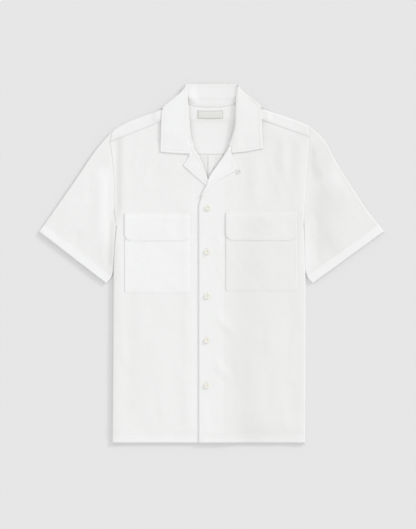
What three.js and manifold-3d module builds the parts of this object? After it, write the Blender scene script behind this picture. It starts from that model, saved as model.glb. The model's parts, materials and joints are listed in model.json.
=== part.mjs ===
// Short-sleeved camp shirt in thin linen, buttoned and laid flat on its back.
// Millimetres. X to the right as seen from the front, +Y to the collar, +Z up, the back rests on z = 0.
// "left" and "right" in the names are the wearer's: the left front lies at +X and overlaps the right one.
import * as THREE from 'three';
import { mergeVertices } from 'three/addons/utils/BufferGeometryUtils.js';
import Module from 'manifold-3d';

const wasm = await Module();
wasm.setup();

// Cloth and clearances
const CLOTH = 1.2;
const SEAM_GAP = 0.3;
const LAYER = CLOTH + SEAM_GAP;
const HEM_DEPTH = 21;
const HEM_EXTRA = 0.5;
const HEM_STEP = 0.5;
const CORNER_GAP = 0.2;

// Body
const HEM_Y = -376.9;
const FRONT_LIFT = 2.6;
const OVERLAP_EDGE = -27.5;
const UNDERLAP = { edge: 10.7, top: 140, clear: 2 };
const OVERLAP_RAMP = 60;
const SIDE_HEIGHT = 5;
const SIDE_PUFF_WIDTH = 26;
const SIDE_RETURN = 13;
const SIDE_INSET = SIDE_HEIGHT / 2;
const FORWARD_SEAM = 21;
const BACK_YOKE_SEAM_Y = 228;
const PLEAT = { left: -7.4, right: 5.3, crease: 1.6, height: 0.6, fadeTop: 226, fadeEnd: 60 };

// Collar
const COLLAR_TOP_Y = 376.9;
const COLLAR_BACK_LEAF_Y = 306;
const COLLAR_TUCK = LAYER;
const TUCK = { centre: 0.5, halfWidth: 128, ramp: 12, above: 1.3 };
const STAND_SIDE = { centre: 1, from: 34, ramp: 12, rise: 4.6 };
const STAND_TOP = { rise: 2.6, width: 16 };
const LEAF = { rest: 5.9, overStand: 7.9, puff: 1.2, puffWidth: 20.8 };
const LAPEL_SPRING = 0.6;
const FOLD_INSET = { collar: 3.4, roll: 2.4, lapel: 2.2, shoulder: 2.4 };
const BAND_END_Y = 326;
const BACK_LEAF_HALF = 97;

// Grid steps of the cloth walls
const GRID = {
  body: { stepX: 15, stepY: 26 },
  lapel: { stepX: 10, stepY: 13 },
  back: { stepX: 52, stepY: 60 },
  yoke: { stepX: 26, stepY: 18 },
  stand: { stepX: 9, stepY: 17 },
  leaf: { stepX: 12, stepY: 17 },
  backLeaf: { stepX: 60, stepY: 60 },
  label: { stepX: 30, stepY: 30 },
};

const LINEN = { color: 0xeef0ee, roughness: 0.9, metalness: 0 };
const BUTTON_SHELL = { color: 0xe6dfc8, roughness: 0.35, metalness: 0 };
const LABEL_TAPE = { color: 0xe4e1da, roughness: 0.8, metalness: 0 };

// Edges seen from above, top to bottom
const ARMHOLE = {
  right: [
    { x: -209, y: 278 }, { x: -214, y: 253 }, { x: -208, y: 220 },
    { x: -205.6, y: 184 }, { x: -204.5, y: 104 }, { x: -200, y: 79 },
  ],
  left: [
    { x: 204.8, y: 288.8 }, { x: 205.5, y: 257 }, { x: 203, y: 220 },
    { x: 198, y: 165 }, { x: 194.5, y: 104 }, { x: 194, y: 84 },
  ],
};
const SIDE_EDGE = {
  right: [
    { x: -199.7, y: 79 }, { x: -204.3, y: 28 }, { x: -206, y: -10 }, { x: -206, y: -60 }, { x: -208.3, y: HEM_Y },
  ],
  left: [
    { x: 193.7, y: 84 }, { x: 195.2, y: 40 }, { x: 197, y: -18 }, { x: 197.6, y: -56 }, { x: 196.4, y: HEM_Y },
  ],
};
const SHOULDER = {
  right: [{ x: -57, y: 341 }, { x: -106, y: 322.5 }, { x: -177, y: 296 }, { x: -209, y: 278 }],
  left: [{ x: 60, y: 341 }, { x: 100, y: 325 }, { x: 118, y: 320.5 }, { x: 184, y: 297.5 }, { x: 204.8, y: 288.8 }],
};

// Sleeves: upper fold and lower fold, armhole to hem. The lower fold lies against the body at first.
const SLEEVE_EDGES = {
  right: {
    upper: [
      { x: -209, y: 278 }, { x: -242.6, y: 238.5 }, { x: -286, y: 175 },
      { x: -330, y: 112 }, { x: -362.2, y: 66.5 },
    ],
    lower: [
      { x: -200.6, y: 79 }, { x: -204.9, y: 28 }, { x: -206.8, y: -6 }, { x: -207.8, y: -20 },
      { x: -212, y: -31 }, { x: -220.9, y: -41.5 },
    ],
  },
  left: {
    upper: [
      { x: 204.8, y: 288.8 }, { x: 236, y: 259 }, { x: 259.5, y: 217 }, { x: 285, y: 175 },
      { x: 326.6, y: 112 }, { x: 362.2, y: 67 },
    ],
    lower: [
      { x: 194.6, y: 84 }, { x: 195.9, y: 40 }, { x: 197, y: 5 }, { x: 198, y: -17 },
      { x: 203.5, y: -32 }, { x: 212, y: -41.5 },
    ],
  },
};

// Neck opening: seam of the stand, and roll line of the collar down to the break of the lapel
const NECK_SEAM = {
  right: [{ x: -60, y: 330 }, { x: -61, y: 318 }, { x: -59, y: 280 }, { x: -51, y: 249 }, { x: -41, y: 236.5 }],
  left: [{ x: 62, y: 332 }, { x: 62.5, y: 318 }, { x: 60, y: 280 }, { x: 51, y: 256 }, { x: 40, y: 247 }],
};
const NECKLINE = {
  stand: [{ x: -60, y: 346 }, { x: -42, y: 333.6 }, { x: 0, y: 329.8 }, { x: 42, y: 334.2 }, { x: 62, y: 349 }],
  yoke: [{ x: -57, y: 339 }, { x: -42, y: 332.5 }, { x: 0, y: 328.8 }, { x: 42, y: 333 }, { x: 60, y: 339 }],
};
const COLLAR_ROLL = {
  right: [{ x: -52, y: 374 }, { x: -50, y: 350 }, { x: -47.5, y: 320 }, { x: -45, y: 285 }, { x: -40.5, y: 257 }],
  left: [{ x: 54.5, y: 374 }, { x: 51, y: 350 }, { x: 49.5, y: 320 }, { x: 47.5, y: 285 }, { x: 38, y: 252 }],
};
const LAPEL_ROLL = {
  right: [{ x: -39.4, y: 253 }, { x: -35, y: 240 }, { x: -27.3, y: 228 }, { x: -18, y: 207 }, { x: -9.4, y: 182 }],
  left: [
    { x: 36.4, y: 246 }, { x: 30, y: 233 }, { x: 13, y: 208 }, { x: -4.8, y: 181.6 },
    { x: -11.6, y: 163 }, { x: -23, y: 142.5 }, { x: -27.5, y: 122 },
  ],
};

// Free edges of the leaves and lapels, from the shoulder fold round to the roll line
const COLLAR_FOLD = {
  right: [
    { x: -53.5, y: COLLAR_TOP_Y }, { x: -61, y: 364 }, { x: -78, y: 348.5 },
    { x: -93, y: 337 }, { x: -104.5, y: 326 },
  ],
  left: [
    { x: 55.7, y: COLLAR_TOP_Y }, { x: 63, y: 364.5 }, { x: 85, y: 348 },
    { x: 96, y: 339 }, { x: 105, y: 329 },
  ],
};
const LEAF_EDGE = {
  right: [{ x: -106, y: 290 }, { x: -108, y: 234 }, { x: -76, y: 231 }, { x: -43.3, y: 229.6 }],
  left: [{ x: 106, y: 290 }, { x: 108.5, y: 241 }, { x: 76, y: 235 }, { x: 43, y: 231.2 }],
};
const LAPEL_EDGE = {
  right: [{ x: -42.6, y: 228.7 }, { x: -59.8, y: 205.8 }, { x: -13.6, y: 164.4 }],
  left: [
    { x: 43.5, y: 230.3 }, { x: 53.5, y: 198.5 }, { x: 43, y: 190.5 },
    { x: 15, y: 175 }, { x: 0, y: 163 }, { x: -13, y: 150 },
  ],
};

// Large soft folds: h above (ridge) or below (trough) the lie of the cloth, w their half-width
const FRONT_FOLDS = [
  { name: 'trough by right armhole', x1: -190, y1: 262, x2: -192, y2: 108, w: 9, h: -1 },
  { name: 'trough under right leaf', x1: -100, y1: 222, x2: -128, y2: 172, w: 14, h: -0.6 },
  { name: 'right facing edge', x1: -52, y1: 128, x2: -52, y2: -350, w: 9, h: 0.5 },
  { name: 'right side wave', x1: -170, y1: -40, x2: -176, y2: -330, w: 18, h: -0.7 },
  { name: 'right belly wave', x1: -118, y1: -120, x2: -100, y2: -340, w: 26, h: 0.8 },
  { name: 'trough by left armhole', x1: 170, y1: 258, x2: 167, y2: 172, w: 10, h: -1 },
  { name: 'left chest wave', x1: 92, y1: 226, x2: 88, y2: 128, w: 15, h: 1.3 },
  { name: 'left chest trough', x1: 134, y1: 262, x2: 120, y2: 130, w: 16, h: -0.8 },
  { name: 'left shoulder ridge', x1: 150, y1: 268, x2: 148, y2: 190, w: 10, h: 0.9 },
  { name: 'left strip pull, upper', x1: 8, y1: -116, x2: 44, y2: -140, w: 11, h: 0.8 },
  { name: 'left strip pull, lower', x1: 6, y1: -212, x2: 40, y2: -236, w: 12, h: 0.8 },
  { name: 'left body wave', x1: 66, y1: -130, x2: 98, y2: -350, w: 24, h: 0.9 },
  { name: 'left side wave', x1: 168, y1: -80, x2: 172, y2: -340, w: 18, h: -0.7 },
];
const SLEEVE_FOLDS = [
  { name: 'right sleeve ridge', x1: -228, y1: 190, x2: -226, y2: 50, w: 12, h: 1 },
  { name: 'right sleeve trough', x1: -250, y1: 200, x2: -262, y2: 60, w: 16, h: -0.7 },
  { name: 'right hem dip', x1: -284, y1: 70, x2: -276, y2: 36, w: 12, h: -0.8 },
  { name: 'left sleeve trough', x1: 226, y1: 220, x2: 244, y2: 20, w: 17, h: -1 },
  { name: 'left sleeve ridge', x1: 246, y1: 205, x2: 290, y2: 70, w: 18, h: 1 },
  { name: 'left cap crease', x1: 213, y1: 228, x2: 222, y2: 190, w: 7, h: 0.8 },
];

const POCKETS = {
  left: { x1: 29, x2: 178.3, y1: -57.7, y2: 100 },
  right: { x1: -183, x2: -46.2, y1: -61.5, y2: 100 },
};
const FLAPS = {
  left: { x1: 29, x2: 179.6, y1: 48.3, y2: 107 },
  right: { x1: -183.2, x2: -46.2, y1: 47.3, y2: 105 },
};
const FLAP_CORNER = 16;
const POCKET_CORNER = 5;

// Half of a button's section, from the middle of its back round the rim to the middle of its dish
const BUTTON_SECTION = [
  { r: 0, z: 0 }, { r: 4.35, z: 0 }, { r: 5.45, z: 0.6 }, { r: 5.75, z: 1.32 }, { r: 5.35, z: 2.2 },
  { r: 4.85, z: 2.4 }, { r: 4.25, z: 2.2 }, { r: 3.45, z: 1.8 }, { r: 0, z: 1.8 },
];
const BUTTON_PLACES = [
  { x: -7.2, y: 117 }, { x: -8.4, y: 25 }, { x: -8.4, y: -67.8 }, { x: -9.2, y: -160.7 }, { x: -9.2, y: -255.4 },
];
const LOOP = { x: 57.6, y: 193.4, radius: 3.9, cord: 0.8, clear: 0.1 };
const LABEL = { x1: -29.2, x2: 24.2, y1: 304.5, y2: 321.5, bow: 1.2, thickness: 1 };

const mix = (a, b, t) => a + (b - a) * t;
const clamp01 = (t) => Math.min(1, Math.max(0, t));
const smooth = (t) => clamp01(t) ** 2 * (3 - 2 * clamp01(t));

// x of a table of edge points at height y
function edgeX(points, y) {
  for (let i = 1; i < points.length; i += 1) {
    const a = points[i - 1];
    const b = points[i];
    if (y >= b.y || i === points.length - 1) return mix(a.x, b.x, clamp01((a.y - y) / (a.y - b.y)));
  }
  return points[0].x;
}

// Smooth curve through table points, sampled at count + 1 places
function smoothCurve(points, count) {
  const curve = new THREE.CatmullRomCurve3(points.map((p) => new THREE.Vector3(p.x, p.y, 0)), false, 'centripetal');
  return curve.getSpacedPoints(count).map((p) => ({ x: p.x, y: p.y }));
}

// Height of all folds in a table at one place
function foldHeight(table, x, y) {
  let height = 0;
  for (const fold of table) {
    const dx = fold.x2 - fold.x1;
    const dy = fold.y2 - fold.y1;
    const length = Math.hypot(dx, dy);
    const along = ((x - fold.x1) * dx + (y - fold.y1) * dy) / length;
    const across = ((x - fold.x1) * dy - (y - fold.y1) * dx) / length;
    const end = smooth((along + fold.w) / (3 * fold.w)) * smooth((length + fold.w - along) / (3 * fold.w));
    height += fold.h * end * Math.exp(-((across / fold.w) ** 2));
  }
  return height;
}

// Outer edge of the body on one side: armhole above the underarm, side fold below it
const bodyEdgeX = (side, y) =>
  y > ARMHOLE[side].at(-1).y ? edgeX(ARMHOLE[side], y) : edgeX(SIDE_EDGE[side], y);

// 1 over the part of the back leaf of the collar, 0 away from it
function tuckMask(x, y) {
  const below = smooth((y - (COLLAR_BACK_LEAF_Y - TUCK.ramp)) / TUCK.ramp);
  return below * smooth((TUCK.halfWidth - Math.abs(x - TUCK.centre)) / TUCK.ramp);
}

const backLow = (x, y) => COLLAR_TUCK * tuckMask(x, y);

// Lower face of the cloth that lies on top: both fronts and the yoke's forward strip
function frontLow(x, y) {
  const toEdge = Math.min(x - bodyEdgeX('right', y), bodyEdgeX('left', y) - x);
  const puff = (SIDE_HEIGHT - CLOTH - FRONT_LIFT) * Math.exp(-((Math.max(toEdge, 0) / SIDE_PUFF_WIDTH) ** 2));
  const lie = FRONT_LIFT + puff + foldHeight(FRONT_FOLDS, x, y);
  return Math.max(lie, CLOTH + 2 * SEAM_GAP) + TUCK.above * COLLAR_TUCK * tuckMask(x, y);
}

// The left front rides over the right one
function leftFrontLow(x, y) {
  const over = smooth((UNDERLAP.edge + UNDERLAP.clear + OVERLAP_RAMP - x) / OVERLAP_RAMP);
  return frontLow(x, y) + (LAYER + HEM_EXTRA) * over;
}
const frontCloth = (x, y) => CLOTH + (y < HEM_Y + HEM_DEPTH ? HEM_EXTRA : 0);

// Solid from vertices and triangles, faces turned outwards
function solid(vertices, triangles) {
  let volume = 0;
  for (const [a, b, c] of triangles) {
    volume += new THREE.Vector3().crossVectors(vertices[b], vertices[c]).dot(vertices[a]);
  }
  const outward = volume > 0 ? triangles : triangles.map(([a, b, c]) => [a, c, b]);
  return new wasm.Manifold(new wasm.Mesh({
    numProp: 3,
    vertProperties: new Float32Array(vertices.flatMap((v) => [v.x, v.y, v.z])),
    triVerts: new Uint32Array(outward.flat()),
  }));
}

function solidOf(geometry) {
  geometry.deleteAttribute('normal');
  geometry.deleteAttribute('uv');
  const merged = mergeVertices(geometry, 1e-4);
  const position = merged.attributes.position;
  const vertices = Array.from({ length: position.count }, (_, i) => new THREE.Vector3().fromBufferAttribute(position, i));
  const index = Array.from(merged.index.array);
  const triangles = [];
  for (let i = 0; i < index.length; i += 3) triangles.push([index[i], index[i + 1], index[i + 2]]);
  return solid(vertices, triangles.filter(([a, b, c]) => a !== b && b !== c && c !== a));
}

// Upright prism over an outline
function prism(outline) {
  const shape = new THREE.Shape(outline.map((p) => new THREE.Vector2(p.x, p.y)));
  const height = 60;
  return solidOf(new THREE.ExtrudeGeometry(shape, { depth: height, bevelEnabled: false }).translate(0, 0, -height / 2));
}

// Cloth wall over a grid of lines: low gives its lower face, thick its thickness
function gridWall(xs, ys, low, thick) {
  const vertices = [];
  for (const y of ys) {
    for (const x of xs) {
      const z = low(x, y);
      vertices.push(new THREE.Vector3(x, y, z), new THREE.Vector3(x, y, z + thick(x, y)));
    }
  }
  const columns = xs.length;
  const at = (i, j, top) => 2 * (j * columns + i) + top;
  const triangles = [];
  const quad = (a, b, c, d) => triangles.push([a, b, c], [a, c, d]);
  for (let j = 0; j < ys.length - 1; j += 1) {
    for (let i = 0; i < columns - 1; i += 1) {
      quad(at(i, j, 1), at(i + 1, j, 1), at(i + 1, j + 1, 1), at(i, j + 1, 1));
      triangles.push([at(i, j, 0), at(i + 1, j + 1, 0), at(i + 1, j, 0)]);
      triangles.push([at(i, j, 0), at(i, j + 1, 0), at(i + 1, j + 1, 0)]);
    }
  }
  for (let i = 0; i < columns - 1; i += 1) {
    quad(at(i, 0, 0), at(i + 1, 0, 0), at(i + 1, 0, 1), at(i, 0, 1));
    quad(at(i + 1, ys.length - 1, 0), at(i, ys.length - 1, 0), at(i, ys.length - 1, 1), at(i + 1, ys.length - 1, 1));
  }
  for (let j = 0; j < ys.length - 1; j += 1) {
    quad(at(0, j + 1, 0), at(0, j, 0), at(0, j, 1), at(0, j + 1, 1));
    quad(at(columns - 1, j, 0), at(columns - 1, j + 1, 0), at(columns - 1, j + 1, 1), at(columns - 1, j, 1));
  }
  return solid(vertices, triangles);
}

// Grid lines on whole steps that cover a range, with extra lines where the form needs them
function lines(from, to, step, extra = []) {
  const nearStep = 0.3;
  const all = extra.filter((value) => value > from - step && value < to + step);
  for (let k = Math.floor(from / step); k <= Math.ceil(to / step); k += 1) {
    if (!extra.some((value) => Math.abs(value - k * step) < nearStep * step)) all.push(k * step);
  }
  return [...new Set(all)].sort((a, b) => a - b);
}

// Flat piece of cloth cut to an outline
function panel(outline, low, thick = () => CLOTH, grid = GRID.body, { extraX = [], extraY = [] } = {}) {
  const xs = outline.map((p) => p.x);
  const ys = outline.map((p) => p.y);
  const columns = lines(Math.min(...xs), Math.max(...xs), grid.stepX, extraX);
  const rows = lines(Math.min(...ys), Math.max(...ys), grid.stepY, extraY);
  return gridWall(columns, rows, low, thick).intersect(prism(outline));
}

// Soft fold along an edge: a half-round wall that joins a lower layer to an upper one.
// inward turns the path's direction to the side where the layers lie.
function rolledEdge(path, inward, low, high, legs = { low: 3, high: 3 }) {
  const arcSteps = 5;
  const sunk = 0.2;
  const inset = 3;
  const stations = path.map((p, i) => {
    const before = path[Math.max(i - 1, 0)];
    const after = path[Math.min(i + 1, path.length - 1)];
    const length = Math.hypot(after.x - before.x, after.y - before.y);
    const nx = (-(after.y - before.y) / length) * inward;
    const ny = ((after.x - before.x) / length) * inward;
    const bottom = low(p.x + nx * inset, p.y + ny * inset);
    const top = high(p.x + nx * inset, p.y + ny * inset);
    const radius = (top - bottom) / 2;
    const centre = (top + bottom) / 2;
    const place = (distance, z) => new THREE.Vector3(p.x + nx * distance, p.y + ny * distance, z);
    const outer = [place(radius + legs.low, bottom + sunk)];
    const inner = [place(radius + legs.low, bottom + CLOTH - sunk)];
    for (let k = 0; k <= arcSteps; k += 1) {
      const angle = -Math.PI / 2 + (Math.PI * k) / arcSteps;
      const hollow = radius - CLOTH;
      outer.push(place(radius - radius * Math.cos(angle), centre + radius * Math.sin(angle)));
      inner.push(place(radius - hollow * Math.cos(angle), centre + hollow * Math.sin(angle)));
    }
    outer.push(place(radius + legs.high, top - sunk));
    inner.push(place(radius + legs.high, top - CLOTH + sunk));
    return [...outer, ...inner.reverse()];
  });
  return loft(stations, false);
}

// Closed body through loops of equal length. A ring loft holds a hollow: the second half of
// each loop is its inner wall.
function loft(stations, ring) {
  const count = stations[0].length;
  const half = count / 2;
  const vertices = stations.flat();
  const at = (s, k) => s * count + k;
  const triangles = [];
  const quad = (a, b, c, d) => triangles.push([a, b, c], [a, c, d]);
  const next = (k) => {
    if (!ring) return (k + 1) % count;
    return k < half ? (k + 1) % half : half + ((k + 1 - half) % half);
  };
  for (let s = 0; s < stations.length - 1; s += 1) {
    for (let k = 0; k < count; k += 1) {
      const m = next(k);
      if (ring && k >= half) quad(at(s, m), at(s, k), at(s + 1, k), at(s + 1, m));
      else quad(at(s, k), at(s, m), at(s + 1, m), at(s + 1, k));
    }
  }
  const partner = (k) => (ring ? half + k : count - 1 - k);
  const capEnd = ring ? half : half - 1;
  for (let k = 0; k < capEnd; k += 1) {
    const m = ring ? (k + 1) % half : k + 1;
    quad(at(0, m), at(0, k), at(0, partner(k)), at(0, partner(m)));
    const last = stations.length - 1;
    quad(at(last, k), at(last, m), at(last, partner(m)), at(last, partner(k)));
  }
  return solid(vertices, triangles);
}

const floor = () => 0;
const shifted = (points, dx, dy = 0) => points.map((p) => ({ x: p.x + dx, y: p.y + dy }));
const reversed = (points) => [...points].reverse();

// Heights of the sleeve's armhole edge, shared by all that is sewn to it
const ARMHOLE_STEPS = 11;
function armholeRows(side) {
  const top = SLEEVE_EDGES[side].upper[0];
  const bottom = SLEEVE_EDGES[side].lower[0];
  const end = SIDE_HEIGHT / 2 / Math.hypot(top.x - bottom.x, top.y - bottom.y);
  return Array.from({ length: ARMHOLE_STEPS + 1 }, (_, k) => mix(top.y, bottom.y, mix(end, 1 - end, k / ARMHOLE_STEPS)));
}

// Edge of the body from one height down to another, a little in from the armhole or side fold
function bodyCurve(side, rows, inset) {
  const sign = side === 'left' ? -1 : 1;
  return rows.map((y) => ({ x: bodyEdgeX(side, y) + sign * inset, y }));
}

const evenSteps = (from, to, count) => Array.from({ length: count + 1 }, (_, i) => mix(from, to, i / count));

function armholeCurve(side, from, to) {
  const nearEnd = 1;
  const rows = armholeRows(side).filter((y) => y < from - nearEnd && y > to + nearEnd);
  return bodyCurve(side, [from, ...rows, to], SEAM_GAP);
}

const shoulderTop = (x, y) => frontLow(x, y) + CLOTH;

// Line that follows the shoulder fold at a distance down the front, from the neck to the armhole
function shoulderLine(side, distance, count = 8) {
  const fine = 120;
  const curve = smoothCurve(SHOULDER[side], fine);
  const out = side === 'left' ? 1 : -1;
  const moved = curve.map((p, i) => {
    const a = curve[Math.max(i - 1, 0)];
    const b = curve[Math.min(i + 1, fine)];
    const length = Math.hypot(b.x - a.x, b.y - a.y);
    return { x: p.x + (out * (b.y - a.y) * distance) / length, y: p.y - (out * (b.x - a.x) * distance) / length };
  });
  const inside = moved.filter((p) => (bodyEdgeX(side, p.y) - p.x) * out > SEAM_GAP);
  const last = inside.length - 1;
  return Array.from({ length: count + 1 }, (_, i) => inside[Math.round((i / count) * last)]);
}

const underarmY = (side) => ARMHOLE[side].at(-1).y;

// Front of one side: panel, side fold that returns under the body, and folded-back lapel
function makeFront(side) {
  const isLeft = side === 'left';
  const sign = isLeft ? -1 : 1;
  const low = isLeft ? leftFrontLow : frontLow;
  const closingX = isLeft ? OVERLAP_EDGE : UNDERLAP.edge;
  const seam = shoulderLine(side, FORWARD_SEAM + SEAM_GAP, 4);
  const seamRun = 6;
  const rollPath = smoothCurve(LAPEL_ROLL[side], 8);
  const innerRoll = shifted(rollPath, -sign * FOLD_INSET.lapel, -FOLD_INSET.lapel / 2);
  const turn = underarmY(side) - 1;
  const outline = [
    { x: closingX, y: HEM_Y },
    ...(isLeft ? [] : [{ x: UNDERLAP.edge, y: UNDERLAP.top }]),
    ...(isLeft ? reversed(innerRoll.slice(0, -1)) : reversed(innerRoll)),
    ...reversed(NECK_SEAM[side].slice(2)).slice(1),
    { x: NECK_SEAM[side][1].x, y: seam[0].y - seamRun },
    ...seam,
    ...armholeCurve(side, seam.at(-1).y - CORNER_GAP, underarmY(side)),
    ...bodyCurve(side, evenSteps(turn, HEM_Y, 7), SIDE_INSET),
  ];
  const hemTop = HEM_Y + HEM_DEPTH;
  let front = panel(outline, low, frontCloth, GRID.body, { extraY: [hemTop - HEM_STEP, hemTop] });

  const sidePath = bodyCurve(side, evenSteps(turn, HEM_Y, 10), 0);
  const sideTop = (x, y) => low(x, y) + CLOTH;
  front = front.add(rolledEdge(sidePath, isLeft ? -1 : 1, floor, sideTop, { low: SIDE_RETURN - SIDE_INSET, high: 4 }));

  const lapelLow = (x, y) => low(x, y) + LAYER + LAPEL_SPRING;
  const lapelTop = (x, y) => lapelLow(x, y) + CLOTH;
  const fold = isLeft ? rollPath : rollPath.slice(0, -1);
  const lapelOutline = [...innerRoll.slice(0, fold.length), ...reversed(LAPEL_EDGE[side])];
  const lapel = panel(lapelOutline, lapelLow, () => CLOTH, GRID.lapel);
  const roll = rolledEdge(fold, isLeft ? 1 : -1, low, lapelTop, { low: 2.5, high: 2.5 });
  return front.add(lapel).add(roll);
}

// Back panel: its side edges meet the fronts' return, its upper edge the yoke
function makeBack() {
  const top = BACK_YOKE_SEAM_Y - SEAM_GAP;
  const outline = [];
  for (const side of ['right', 'left']) {
    const sign = side === 'left' ? -1 : 1;
    const turn = underarmY(side) - 1;
    const points = [
      ...armholeCurve(side, top, underarmY(side)),
      { x: bodyEdgeX(side, turn) + sign * (SIDE_RETURN + 2 * SEAM_GAP), y: turn },
      { x: edgeX(SIDE_EDGE[side], HEM_Y) + sign * (SIDE_RETURN + 2 * SEAM_GAP), y: HEM_Y },
    ];
    outline.push(...(side === 'right' ? points : reversed(points)));
  }
  const { left, right, crease, height, fadeTop, fadeEnd } = PLEAT;
  const thick = (x, y) => {
    const across = x >= left && x <= right ? 1 : 0;
    return CLOTH + height * across * smooth((y - fadeEnd) / (fadeTop - fadeEnd)) * (y > fadeEnd ? 1 : 0);
  };
  const extraX = [left - crease, left, right, right + crease];
  return panel(outline, floor, thick, GRID.back, { extraX });
}

// Yoke: back part, folds over both shoulders, and forward strips on the fronts
function makeYoke() {
  const neckCurve = smoothCurve(NECKLINE.yoke, 12);
  const foldLine = {
    right: shoulderLine('right', FOLD_INSET.shoulder),
    left: shoulderLine('left', FOLD_INSET.shoulder),
  };
  const plate = [
    ...reversed(armholeCurve('right', foldLine.right.at(-1).y - CORNER_GAP, BACK_YOKE_SEAM_Y)),
    ...reversed(foldLine.right.slice(1)),
    ...neckCurve,
    ...foldLine.left.slice(1),
    ...armholeCurve('left', foldLine.left.at(-1).y - CORNER_GAP, BACK_YOKE_SEAM_Y),
  ];
  const extraY = [COLLAR_BACK_LEAF_Y - TUCK.ramp, COLLAR_BACK_LEAF_Y];
  let yoke = panel(plate, backLow, () => CLOTH, GRID.yoke, { extraY });
  for (const side of ['right', 'left']) {
    const isLeft = side === 'left';
    const seam = shoulderLine(side, FORWARD_SEAM, 4);
    yoke = yoke.add(rolledEdge(shoulderLine(side, 0), isLeft ? -1 : 1, backLow, shoulderTop));
    const strip = [
      ...foldLine[side],
      ...armholeCurve(side, foldLine[side].at(-1).y - CORNER_GAP, seam.at(-1).y + CORNER_GAP),
      ...reversed(seam),
    ];
    yoke = yoke.add(panel(strip, frontLow));
  }
  return yoke;
}

// Collar heights: the stand that shows inside the neck and runs on under the leaves, and the leaves
function standLow(x, y) {
  const sideRise = STAND_SIDE.rise * smooth((Math.abs(x - STAND_SIDE.centre) - STAND_SIDE.from) / STAND_SIDE.ramp);
  const topRise = STAND_TOP.rise * Math.exp(-(((COLLAR_TOP_Y - y) / STAND_TOP.width) ** 2));
  return COLLAR_TUCK + SEAM_GAP + Math.max(sideRise, topRise);
}

// Distance from a place to a path
function toPath(path, x, y) {
  return Math.min(...path.map((p) => Math.hypot(p.x - x, p.y - y)));
}

const ROLL_PATH = { right: smoothCurve(COLLAR_ROLL.right, 10), left: smoothCurve(COLLAR_ROLL.left, 10) };

function leafLow(side, x, y) {
  const rest = Math.max(frontLow(x, y) + LAYER, LEAF.rest);
  const near = Math.exp(-((toPath(ROLL_PATH[side], x, y) / LEAF.puffWidth) ** 2));
  return mix(rest, LEAF.overStand + LEAF.puff, near);
}

function makeCollar() {
  const inset = FOLD_INSET.collar;
  const neckline = smoothCurve(NECKLINE.stand, 10);
  const rollInner = {
    right: shifted(ROLL_PATH.right, -FOLD_INSET.roll),
    left: shifted(ROLL_PATH.left, FOLD_INSET.roll),
  };
  const belowBand = (path) => path.filter((p) => p.y < BAND_END_Y);
  const topRight = COLLAR_FOLD.right[0];
  const topLeft = COLLAR_FOLD.left[0];
  const stand = [
    { x: topRight.x, y: COLLAR_TOP_Y - inset }, neckline[0], ...NECK_SEAM.right.slice(1, -1),
    ...reversed(belowBand(rollInner.right)), ...neckline.slice(2, -2),
    ...belowBand(rollInner.left), ...reversed(NECK_SEAM.left.slice(1, -1)), neckline.at(-1),
    { x: topLeft.x, y: COLLAR_TOP_Y - inset },
  ];
  let collar = panel(stand, standLow, () => CLOTH, GRID.stand);

  const foldIn = {
    right: shifted(COLLAR_FOLD.right, inset, -inset),
    left: shifted(COLLAR_FOLD.left, -inset, -inset),
  };
  const backLeaf = [
    { x: -BACK_LEAF_HALF, y: COLLAR_BACK_LEAF_Y }, ...reversed(foldIn.right), ...foldIn.left,
    { x: BACK_LEAF_HALF, y: COLLAR_BACK_LEAF_Y },
  ];
  collar = collar.add(panel(backLeaf, floor, () => CLOTH, GRID.backLeaf));
  const topPath = evenSteps(topRight.x, topLeft.x, 6).map((x) => ({ x, y: COLLAR_TOP_Y }));
  collar = collar.add(rolledEdge(topPath, -1, floor, (x, y) => standLow(x, y) + CLOTH));

  for (const side of ['right', 'left']) {
    const isLeft = side === 'left';
    const low = (x, y) => leafLow(side, x, y);
    const high = (x, y) => leafLow(side, x, y) + CLOTH;
    const leaf = [
      ...foldIn[side].slice(2),
      ...LEAF_EDGE[side],
      ...reversed(rollInner[side]).filter((p) => p.y < COLLAR_TOP_Y - 5 * inset),
    ];
    collar = collar.add(panel(leaf, low, () => CLOTH, GRID.leaf));
    const slant = smoothCurve(COLLAR_FOLD[side], 9);
    collar = collar.add(rolledEdge(slant, isLeft ? -1 : 1, floor, high));
    collar = collar.add(rolledEdge(ROLL_PATH[side], isLeft ? 1 : -1, standLow, high));
  }
  return collar;
}

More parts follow.
